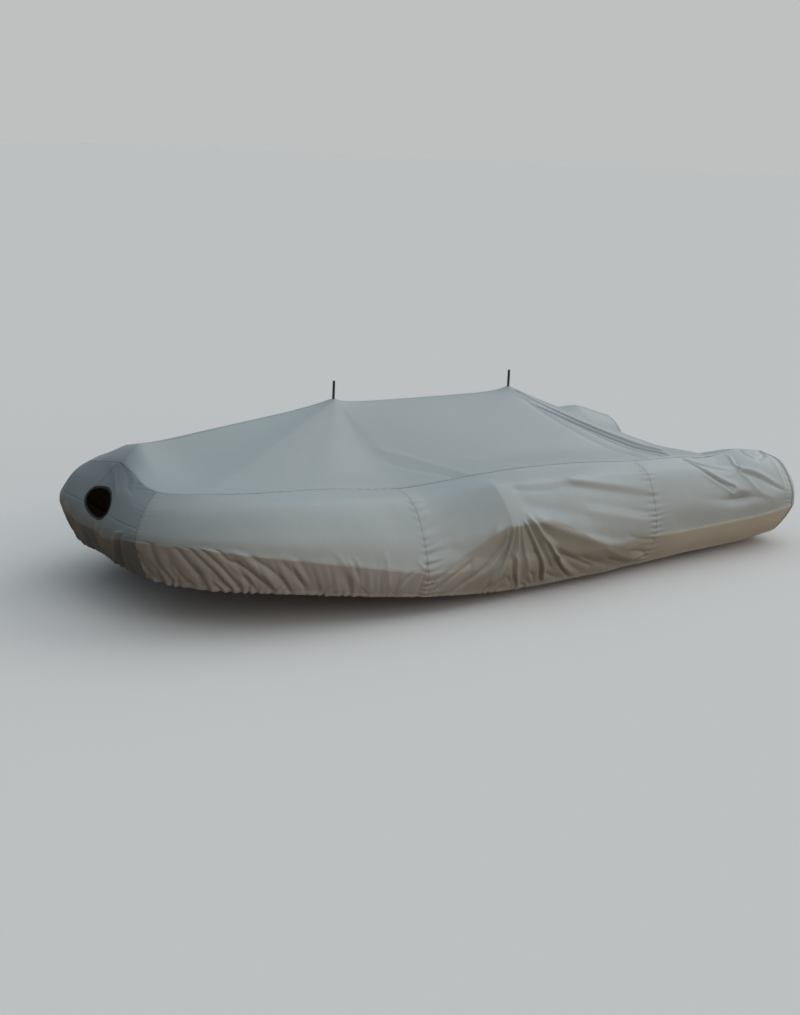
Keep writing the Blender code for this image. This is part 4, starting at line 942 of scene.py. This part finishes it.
def make_bow_cap(outer, inner):
    """Bow cap in two pieces, above and below its level seam."""
    station = spaced(-CAP_SEAM + SEAM_GAP, CAP_SEAM - SEAM_GAP, CAP_MESH)[None, :]
    seams = (-CAP_SEAM, CAP_SEAM)
    outward = side_frame(np.abs(station))[1]
    outward[..., 1] *= np.where(station > 0, -1, 1)
    made = []
    for word, start, end in (("upper", 0.0, CAP_SPLIT), ("lower", CAP_SPLIT, 1.0)):
        down = spaced(start * GIRTH + SEAM_GAP, end * GIRTH - SEAM_GAP * (end < 1), CAP_MESH)
        drops = down[:, None] / GIRTH
        level = np.abs(drops - CAP_SPLIT) * GIRTH
        points = band_cloth(station, drops, seams)
        points = points - outward * (CAP_SEAM_SHARE * SEAM_DEPTH * np.exp(-level / SEAM_ROLL))[..., None]
        away = seam_distance(station, drops, seams, SIDE_SEAM_LESS_DARK)
        away = np.minimum(away, level + SIDE_SEAM_LESS_DARK)
        flat = flat_map(station, drops * GIRTH)
        made.append(panel_from_grid(f"bow_cap_{word}_cloth", points, flat, outer, inner, away))
    cut_hand_hole(made)
    return made


def make_end_cap(name, side, outer, inner):
    """Round end of a sock, puckered at its seam."""
    outer_half = band_point(side * SOCK_END, np.linspace(0, 1, END_POINTS[0]))
    inner_half = sock_inner_point(side, np.array(SOCK_END), np.linspace(0, 1, END_POINTS[1])[1:-1])
    rim = np.concatenate([outer_half, inner_half[::-1]])
    centre = rim.mean(axis=0)
    rings = np.concatenate([END_RIM_RINGS, np.linspace(*END_RINGS)])
    dome = END_DOME * np.sqrt(1 - rings**2)
    disc = centre + (rim - centre) * rings[:, None, None]
    count = len(rim)
    around = np.linspace(0, 1, count, endpoint=False) * END_PUCKERS
    pucker = ribs(around + 0.3 * uneven(around * 0.7, 0.5, 95), 0.9)
    pucker = pucker * np.exp(-((1 - rings) / END_PUCKER_REACH))[:, None]
    turned = np.cos(around / END_PUCKERS * 2 * math.pi)
    slack = END_SLACK * uneven(turned * 3 + side, rings[:, None] * 4, 96)
    lift = (END_PUCKER_HEIGHT * pucker + slack) * fade(0.0, 0.03, 1 - rings)[:, None]
    disc[..., 0] = rim[0, 0] + SEAM_GAP + dome[:, None] + lift
    tip = np.array([[disc[-1, :, 0].mean() + END_TIP, centre[1], centre[2]]])
    last = (len(rings) - 1) * count
    faces = ring_faces(len(rings), count)
    faces += [(last + c, last + (c + 1) % count, len(rings) * count) for c in range(count)]
    if side > 0:
        faces = [face[::-1] for face in faces]
    points = np.concatenate([disc.reshape(-1, 3), tip])
    return sheet_mesh(name, points, faces, points[:, 1:] * END_FULLNESS, outer, inner)


def make_sock_inner(name, side, outer, inner):
    """Inner half of a sock, from the top's corner to the round end."""
    stations = spaced(STERN_SEAM + SEAM_GAP, SOCK_END - SEAM_GAP, SOCK_MESH)[None, :]
    turns = np.linspace(SOCK_EDGE, 1 - SOCK_EDGE, SOCK_ROWS)[:, None]
    points = sock_inner_point(side, stations, turns)
    flat = flat_map(stations, turns * SOCK_GIRTH)
    if side > 0:
        points, flat = points[:, ::-1], flat[:, ::-1]
    return panel_from_grid(name, points, flat, outer, inner)


def make_stern(outer, inner):
    """Panel that hangs between the socks, from the top's aft edge to its own hem."""
    turns = np.linspace(*STERN_TURNS)
    spread = np.linspace(-1, 1, STERN_COLUMNS)
    edge = sock_inner_point(-1, np.array(STERN_SEAM), turns)
    rim = top_outline()[1][-AFT_EDGE_COLUMNS - 1:]
    rim_height = np.interp(np.abs(spread * edge[0, 1]), -rim[::-1, 1], rim[::-1, 2]) - STERN_UNDER
    fall = ((turns - turns[0]) / (turns[-1] - turns[0]))[:, None]
    blend = np.abs(spread)[None, :] ** 4
    points = np.zeros((len(turns), len(spread), 3))
    folds, stray, high = STERN_DRAPE
    drape = high * ribs(spread * folds + stray * uneven(spread * 6, 0.5, 97), 1.2)
    drape = drape * fade(0.1, 0.9, fall) * (1 - blend)
    points[..., 0] = edge[:, None, 0] - STERN_AHEAD + STERN_BELLY * fall * (1 - spread**2) + drape
    points[..., 1] = -spread * edge[:, None, 1] * STERN_WIDTH
    level = AFT_CENTRE[1] + (STERN_HEM - AFT_CENTRE[1]) * fall
    hang = level + (edge[:, None, 2] - level) * blend
    # the sides follow the socks all the way up, the middle hangs from the top's edge
    free = fade(0, 0.5, fall) * (1 - blend) + blend
    points[..., 2] = rim_height * (1 - free) + hang * free
    points = points[:, ::-1]
    return panel_from_grid("stern_cloth", points, points[..., 1:], outer, inner)


# ---- finishes --------------------------------------------------------------------------
GREY = (0.267, 0.306, 0.307, 1)
PALER_GREY = (0.281, 0.318, 0.318, 1)
# grey of the bow cap, darkened as painted shade on the bow, which faces away from the light
CAP_GREY_PAINTED_SHADE = (0.172, 0.206, 0.212, 1)
COATING_GREY = (0.16, 0.17, 0.175, 1)
TAPE_BLACK = (0.010, 0.011, 0.012, 1)
ROD_BLACK = (0.020, 0.021, 0.023, 1)
ROD_WORN = (0.10, 0.10, 0.10, 1)
# colours for low on the sides: dust, darker and browner as painted shade and painted reflection of a brown
# ground
SOIL_AND_SHADE = (0.255, 0.243, 0.225, 1)
KHAKI_SOIL_AND_SHADE = (0.216, 0.203, 0.158, 1)
# pale colour for low on the aft panels: painted bounce light on the lower socks, with some dust
PALE_SOIL_AND_BOUNCE_LIGHT = (0.470, 0.468, 0.385, 1)
# dark blue for low on the bow cap: painted shade
CAP_LOW_PAINTED_SHADE = (0.062, 0.083, 0.098, 1)

BOW_SHADE_SPAN = (0.22, 0.80)            # stations over which the painted shade towards the bow dies away
SOIL_AND_SHADE_EDGE = (0.455, 0.471)         # metres below the seam where the soil with its painted shade and painted reflection begins
FAN_MIDDLE = 1.96                  # it begins higher up round this station, as painted reflection on the fan's folds
FAN_REACH = (0.56, 0.08, 0.150)    # from this far away to this near, and how much higher
MIDDLE_SOIL_AND_SHADE = (1.15, 1.85)         # stations between which one colour of soil and painted shade goes over into the next
# stations between which the painted bounce light of the aft panels takes over
AFT_SOIL_AND_BOUNCE_LIGHT = (2.55, 3.20)
SEAM_DIRT_AND_SHADE = (0.0005, 0.0046, 0.42) # width of the dirt and painted shade in a seam, and how dark it is
STITCH_ROW = 0.0085                # distance of the row of stitches from the seam
STITCH_HALF_WIDTH = 0.0007
STITCH_PITCH = 0.0042
THREAD_PITCH = 0.0011
TAPE_THREAD_PITCH = 0.0018
WEAVE_INPUTS = (
    ("Cloth Map", "Vector"), ("Place", "Vector"), ("Colour", "Color"), ("Dust Colour", "Color"),
    ("Middle Dust Colour", "Color"), ("Aft Dust Colour", "Color"), ("Thread Pitch", "Float"),
    ("Thread Depth", "Float"), ("Dust", "Float"), ("From Seam", "Float"), ("Bow Depth", "Float"),
    ("Roughness", "Float"),
)
WEAVE_OUTPUTS = (("Colour", "Color"), ("Roughness", "Float"), ("Height", "Float"))


def node(tree, kind, **values):
    made = tree.nodes.new(kind)
    for name, value in values.items():
        setattr(made, name, value)
    return made


def give(tree, socket, value):
    """Links a socket to another node's output, or sets it to a plain number or colour."""
    if hasattr(value, "links"):
        tree.links.new(value, socket)
    else:
        socket.default_value = value


def feed(tree, sockets, **values):
    """Gives several sockets their values by name, with _ for each space in a name."""
    for name, value in values.items():
        give(tree, sockets[name.replace("_", " ")], value)


def arithmetic(tree, operation, *values):
    made = node(tree, "ShaderNodeMath", operation=operation)
    for socket, value in zip(made.inputs, values):
        give(tree, socket, value)
    return made.outputs[0]


def eased(tree, value, low, high, start=0.0, end=1.0):
    """Start where the value is low, end where it is high, and an even S between them."""
    made = node(tree, "ShaderNodeMapRange", interpolation_type="SMOOTHSTEP")
    feed(tree, made.inputs, Value=value, From_Min=low, From_Max=high, To_Min=start, To_Max=end)
    return made.outputs["Result"]


def blended(tree, share, first, second, how="MIX"):
    """Two colours as one, share 0 for the first and 1 for the second."""
    made = node(tree, "ShaderNodeMix", data_type="RGBA", blend_type=how)
    feed(tree, made.inputs, Factor=share, A=first, B=second)
    return made.outputs["Result"]


def noise(tree, place, scale, detail):
    made = node(tree, "ShaderNodeTexNoise")
    feed(tree, made.inputs, Vector=place, Scale=scale, Detail=detail)
    return made.outputs["Fac"]


def stretched(tree, place, scale):
    """The place with each direction scaled by its own amount."""
    made = node(tree, "ShaderNodeMapping")
    feed(tree, made.inputs, Vector=place, Scale=scale)
    return made.outputs[0]


def bumped(tree, height, strength, distance):
    made = node(tree, "ShaderNodeBump")
    feed(tree, made.inputs, Height=height, Strength=strength, Distance=distance)
    return made.outputs[0]


def build_weave_group():
    """Woven and coated cloth: threads, slubs, a faded mottle, painted shade towards the bow, and dust low
    down with painted shade and painted reflection, pale as painted bounce light over the socks.
    """
    group = bpy.data.node_groups.new("coated_weave", "ShaderNodeTree")
    for way, sockets in (("INPUT", WEAVE_INPUTS), ("OUTPUT", WEAVE_OUTPUTS)):
        for name, kind in sockets:
            group.interface.new_socket(name, in_out=way, socket_type=f"NodeSocket{kind}")
    group.interface.items_tree["From Seam"].default_value = 1.0
    inside = node(group, "NodeGroupInput").outputs
    outside = node(group, "NodeGroupOutput").inputs

    def calc(operation, *values):
        return arithmetic(group, operation, *values)

    split = node(group, "ShaderNodeSeparateXYZ")
    give(group, split.inputs[0], inside["Cloth Map"])
    along, down = split.outputs[0], split.outputs[1]
    turn = calc("DIVIDE", math.tau, inside["Thread Pitch"])
    warp = calc("SINE", calc("MULTIPLY", along, turn))
    weft = calc("SINE", calc("MULTIPLY", down, turn))
    threads = calc("MULTIPLY", calc("MULTIPLY", warp, weft), inside["Thread Depth"])
    # slubs: threads that are thicker than their neighbours, as fine upright streaks
    slub = noise(group, stretched(group, inside["Cloth Map"], (260.0, 14.0, 1.0)), 1.0, 2.0)
    # mottle: where sun and rain have faded the cloth unevenly
    mottle = noise(group, inside["Place"], 2.3, 5.0)
    grime = noise(group, inside["Place"], 9.0, 6.0)
    faded = calc("MULTIPLY_ADD", mottle, 0.16, 0.92)
    streak = calc("MULTIPLY_ADD", slub, 0.10, 0.95)
    shade = calc("MULTIPLY", faded, streak)
    # painted shade: the cloth is darker towards the bow
    station = calc("ABSOLUTE", along)
    bow_shade = calc("SUBTRACT", 1.0, inside["Bow Depth"])
    shade = calc("MULTIPLY", shade, eased(group, station, *BOW_SHADE_SPAN, bow_shade))
    tint = blended(group, 1.0, inside["Colour"], shade, "MULTIPLY")
    # dust and splashes below the crease with painted shade and painted reflection of a brown ground, khaki
    # along the middle and paler over the socks, where the pale colour is painted bounce light
    from_fan = calc("ABSOLUTE", calc("SUBTRACT", station, FAN_MIDDLE))
    far, near, higher = FAN_REACH
    lowered = calc("ADD", down, eased(group, from_fan, far, near, 0.0, higher))
    low = eased(group, calc("MULTIPLY_ADD", grime, 0.02, lowered), *SOIL_AND_SHADE_EDGE)
    patchy = calc("MULTIPLY_ADD", grime, 0.8, 0.6)
    dust_and_shade = calc("MULTIPLY", calc("MULTIPLY", low, inside["Dust"]), patchy)
    forward_soil_and_shade = blended(group, eased(group, station, *MIDDLE_SOIL_AND_SHADE), inside["Dust Colour"],
                           inside["Middle Dust Colour"])
    soil_shade_and_light = blended(group, eased(group, station, *AFT_SOIL_AND_BOUNCE_LIGHT), forward_soil_and_shade, inside["Aft Dust Colour"])
    dusted_shaded_and_lit = blended(group, dust_and_shade, tint, soil_shade_and_light)
    # dirt and painted shade in the seams, and the stitches beside them
    nearest, clear, seam_darkness = SEAM_DIRT_AND_SHADE
    clear_of_seam_dirt_and_shade = eased(group, inside["From Seam"], nearest, clear, seam_darkness)
    off_row = calc("ABSOLUTE", calc("SUBTRACT", inside["From Seam"], STITCH_ROW))
    in_row = calc("LESS_THAN", off_row, STITCH_HALF_WIDTH)
    beat = calc("SINE", calc("MULTIPLY", calc("ADD", along, down), math.tau / STITCH_PITCH))
    stitch = calc("MULTIPLY", in_row, calc("GREATER_THAN", beat, -0.3))
    wear_and_seam_shade = calc("MULTIPLY", calc("MULTIPLY_ADD", stitch, -0.22, 1.0), clear_of_seam_dirt_and_shade)
    feed(group, outside, Colour=blended(group, 1.0, dusted_shaded_and_lit, wear_and_seam_shade, "MULTIPLY"),
         Roughness=calc("MULTIPLY_ADD", grime, 0.10, inside["Roughness"]),
         Height=calc("MULTIPLY_ADD", slub, 0.8, threads))
    return group


WEAVE = build_weave_group()


def new_finish(name):
    """A material, its nodes and its shader."""
    made = bpy.data.materials.new(name)
    made.use_nodes = True
    return made, made.node_tree, made.node_tree.nodes["Principled BSDF"]


def cloth_finish(name, colour, soil_and_shade_colour, dust_and_shade, roughness, sheen, pitch=THREAD_PITCH, depth=0.35,
                 marked=True, bow_depth=0.0):
    """Coated cloth; marked cloth shows the dirt with painted shade and the stitches at its seams."""
    made, tree, shader = new_finish(name)
    use = node(tree, "ShaderNodeGroup", node_tree=WEAVE)
    # the dust colours and amount carry dust together with painted shade and painted reflection low on the
    # cloth
    feed(tree, use.inputs, Cloth_Map=node(tree, "ShaderNodeUVMap", uv_map="cloth").outputs[0],
         Place=node(tree, "ShaderNodeTexCoord").outputs["Object"], Colour=colour, Thread_Pitch=pitch,
         Thread_Depth=depth, Dust_Colour=soil_and_shade_colour, Aft_Dust_Colour=PALE_SOIL_AND_BOUNCE_LIGHT,
         Middle_Dust_Colour=KHAKI_SOIL_AND_SHADE if bow_depth else soil_and_shade_colour,
         Dust=dust_and_shade, Bow_Depth=bow_depth, Roughness=roughness)
    if marked:
        marks = node(tree, "ShaderNodeAttribute", attribute_name="from_seam")
        feed(tree, use.inputs, From_Seam=marks.outputs["Fac"])
    feed(tree, shader.inputs, Base_Color=use.outputs["Colour"], Roughness=use.outputs["Roughness"],
         Normal=bumped(tree, use.outputs["Height"], 0.35, 0.0004), Specular_IOR_Level=0.45,
         Sheen_Weight=sheen, Sheen_Roughness=0.4)
    return made


def rod_finish(name, colour):
    """Dark coated rod, dulled and scratched along its length."""
    made, tree, shader = new_finish(name)
    place = node(tree, "ShaderNodeTexCoord").outputs["Object"]
    scratch = noise(tree, stretched(tree, place, (300.0, 300.0, 12.0)), 1.0, 4.0)
    wear_and_seam_shade = node(tree, "ShaderNodeMapRange")
    feed(tree, wear_and_seam_shade.inputs, Value=scratch, From_Min=0.55, From_Max=0.75, To_Max=0.5)
    rough = node(tree, "ShaderNodeMapRange")
    feed(tree, rough.inputs, Value=scratch, To_Min=0.38, To_Max=0.60)
    feed(tree, shader.inputs, Base_Color=blended(tree, wear_and_seam_shade.outputs["Result"], colour, ROD_WORN),
         Roughness=rough.outputs["Result"], Normal=bumped(tree, scratch, 0.2, 0.0003))
    return made


TOP_CLOTH = cloth_finish("top_cloth", GREY, SOIL_AND_SHADE, 0.0, 0.44, 0.10)
# the body cloth is painted darker towards the bow, as painted shade
BODY_CLOTH = cloth_finish("body_cloth", PALER_GREY, SOIL_AND_SHADE, 0.66, 0.44, 0.10, bow_depth=0.20)
# bow cap: its grey and its colour low down are painted shade
CAP_CLOTH = cloth_finish("cap_cloth", CAP_GREY_PAINTED_SHADE, CAP_LOW_PAINTED_SHADE, 0.60, 0.44, 0.08)
COATING = cloth_finish("inner_coating", COATING_GREY, SOIL_AND_SHADE, 0.0, 0.38, 0.0, depth=0.12)
TAPE = cloth_finish("binding_tape", TAPE_BLACK, SOIL_AND_SHADE, 0.0, 0.60, 0.04, pitch=TAPE_THREAD_PITCH, depth=0.8,
                    marked=False)
ROD = rod_finish("dark_rod", ROD_BLACK)


# ---- pieces ----------------------------------------------------------------------------
def declare(obj, node_name):
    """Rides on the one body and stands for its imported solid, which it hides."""
    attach(obj, "root")
    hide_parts(node_name)


top = make_top(TOP_CLOTH, COATING)
declare(top, "top_panel")

tape = make_binding(TAPE)
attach(tape, "root")
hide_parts("hole_binding")

cap_upper, cap_lower = make_bow_cap(CAP_CLOTH, COATING)
declare(cap_upper, "bow_cap_upper")
declare(cap_lower, "bow_cap_lower")

# name, start and end station, metres down from the seam where the mesh gets finer
PANELS = (
    ("side_forward", CAP_SEAM, FORWARD_SEAM, 0.44),
    ("side_mid", FORWARD_SEAM, AFT_SEAM, 0.29),
    ("side_aft", AFT_SEAM, SOCK_END, 0.50),
)
# word, side, mesh along and mesh down; port is the side that is seen from near
SIDES = (("port", -1, 0.0041, 0.0070), ("starboard", 1, 0.0072, 0.0100))
for panel, start, end, finer_from in PANELS:
    for word, side, step, row_step in SIDES:
        obj = band_panel(f"{panel}_{word}_cloth", side, start, end, step, row_step, finer_from,
                         BODY_CLOTH, COATING)
        declare(obj, f"{panel}_{word}")

for word, side, *_ in SIDES:
    sock = make_sock_inner(f"sock_inner_{word}_cloth", side, TOP_CLOTH, COATING)
    declare(sock, f"sock_inner_{word}")
    end_cap = make_end_cap(f"end_cap_{word}_cloth", side, TOP_CLOTH, COATING)
    declare(end_cap, f"end_cap_{word}")

stern = make_stern(TOP_CLOTH, COATING)
declare(stern, "stern_panel")

for name in ("pole_forward", "pole_aft"):
    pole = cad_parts[name]
    pole.data.materials.clear()
    pole.data.materials.append(ROD)

# ---- floor, light and camera -----------------------------------------------------------
FLOOR_Z = -0.8305
FLOOR_SIZE = 400.0
FLOOR_COLOUR = (0.60, 0.585, 0.56, 1)
BOUNCE_COLOUR = (0.270, 0.172, 0.105, 1)    # what the floor throws back up under the cover
BACKDROP = (0.52, 0.53, 0.53, 1)
SKY_COLOUR = (0.758, 0.882, 0.985, 1)
SKY_STRENGTH = 0.906
LAMP_DISTANCE = 4.0
LIGHTS = (
    # name, direction it comes from, strength, softness in degrees, colour
    ("overhead", (0.25, 0.05, 1.0), 0.36, 90.0, (0.96, 0.98, 1.0)),
    ("stern", (1.0, 0.0, 0.5), 1.22, 60.0, (1.0, 0.959, 0.948)),
    ("low_port", (0.3, -1.0, 0.15), 1.71, 60.0, (1.0, 0.868, 0.785)),
)
CAMERA_PLACE = (-4.375, -5.70, 1.279)
CAMERA_AZIMUTH = math.radians(-36.7)
CAMERA_ELEVATION = math.radians(14.6)
CAMERA_ROLL = math.radians(2.6)
SENSOR_WIDTH = 36.0
FOCAL_LENGTH = 63.0
NEAREST, FURTHEST = 0.05, 200.0             # what the camera can see, in metres


def by_light_path(tree, unseen, seen, output):
    """Shows the second shader to the camera and the first to everything else."""
    either = node(tree, "ShaderNodeMixShader")
    path = node(tree, "ShaderNodeLightPath").outputs["Is Camera Ray"]
    for socket, value in zip(either.inputs, (path, unseen.outputs[0], seen.outputs[0])):
        give(tree, socket, value)
    give(tree, node(tree, output).inputs["Surface"], either.outputs[0])


bpy.ops.object.select_all(action="DESELECT")
bpy.ops.mesh.primitive_plane_add(size=FLOOR_SIZE, location=(0.0, 0.0, FLOOR_Z))
floor = bpy.context.active_object
floor.name = "floor"
floor_finish, tree, _ = new_finish("pale_floor")
tree.nodes.clear()
seen = node(tree, "ShaderNodeBsdfDiffuse")
feed(tree, seen.inputs, Color=FLOOR_COLOUR)
bounced = node(tree, "ShaderNodeBsdfDiffuse")
feed(tree, bounced.inputs, Color=BOUNCE_COLOUR)
by_light_path(tree, bounced, seen, "ShaderNodeOutputMaterial")
floor.data.materials.append(floor_finish)

# soft light that grows from nothing at floor level to its full strength overhead
world = bpy.data.worlds.new("studio")
world.use_nodes = True
tree = world.node_tree
tree.nodes.clear()
height_up = node(tree, "ShaderNodeSeparateXYZ")
give(tree, height_up.inputs[0], node(tree, "ShaderNodeTexCoord").outputs["Generated"])
sky = node(tree, "ShaderNodeBackground")
feed(tree, sky.inputs, Color=SKY_COLOUR,
     Strength=arithmetic(tree, "MULTIPLY", height_up.outputs[2], SKY_STRENGTH))
backdrop = node(tree, "ShaderNodeBackground")
feed(tree, backdrop.inputs, Color=BACKDROP)
by_light_path(tree, sky, backdrop, "ShaderNodeOutputWorld")
bpy.context.scene.world = world

for name, source, strength, softness, colour in LIGHTS:
    lamp = bpy.data.lights.new(name, "SUN")
    lamp.energy = strength
    lamp.angle = math.radians(softness)
    lamp.color = colour
    holder = in_scene(name, lamp)
    holder.location = Vector(source) * LAMP_DISTANCE
    holder.rotation_mode = "QUATERNION"
    holder.rotation_quaternion = (-Vector(source)).to_track_quat("-Z", "Y")

lens = bpy.data.cameras.new("camera")
lens.sensor_fit = "HORIZONTAL"
lens.sensor_width = SENSOR_WIDTH
lens.lens = FOCAL_LENGTH
lens.clip_start = NEAREST
lens.clip_end = FURTHEST
camera = in_scene("camera", lens)
right = Vector((math.cos(CAMERA_AZIMUTH), math.sin(CAMERA_AZIMUTH), 0.0))
back = Vector((math.sin(CAMERA_AZIMUTH) * math.cos(CAMERA_ELEVATION),
               -math.cos(CAMERA_AZIMUTH) * math.cos(CAMERA_ELEVATION), math.sin(CAMERA_ELEVATION)))
up = back.cross(right)
rolled_right = right * math.cos(CAMERA_ROLL) + up * math.sin(CAMERA_ROLL)
rolled_up = up * math.cos(CAMERA_ROLL) - right * math.sin(CAMERA_ROLL)
turned = Matrix((rolled_right, rolled_up, back)).transposed().to_4x4()
camera.matrix_world = Matrix.Translation(CAMERA_PLACE) @ turned
bpy.context.scene.camera = camera
bpy.context.scene.view_settings.view_transform = "Standard"
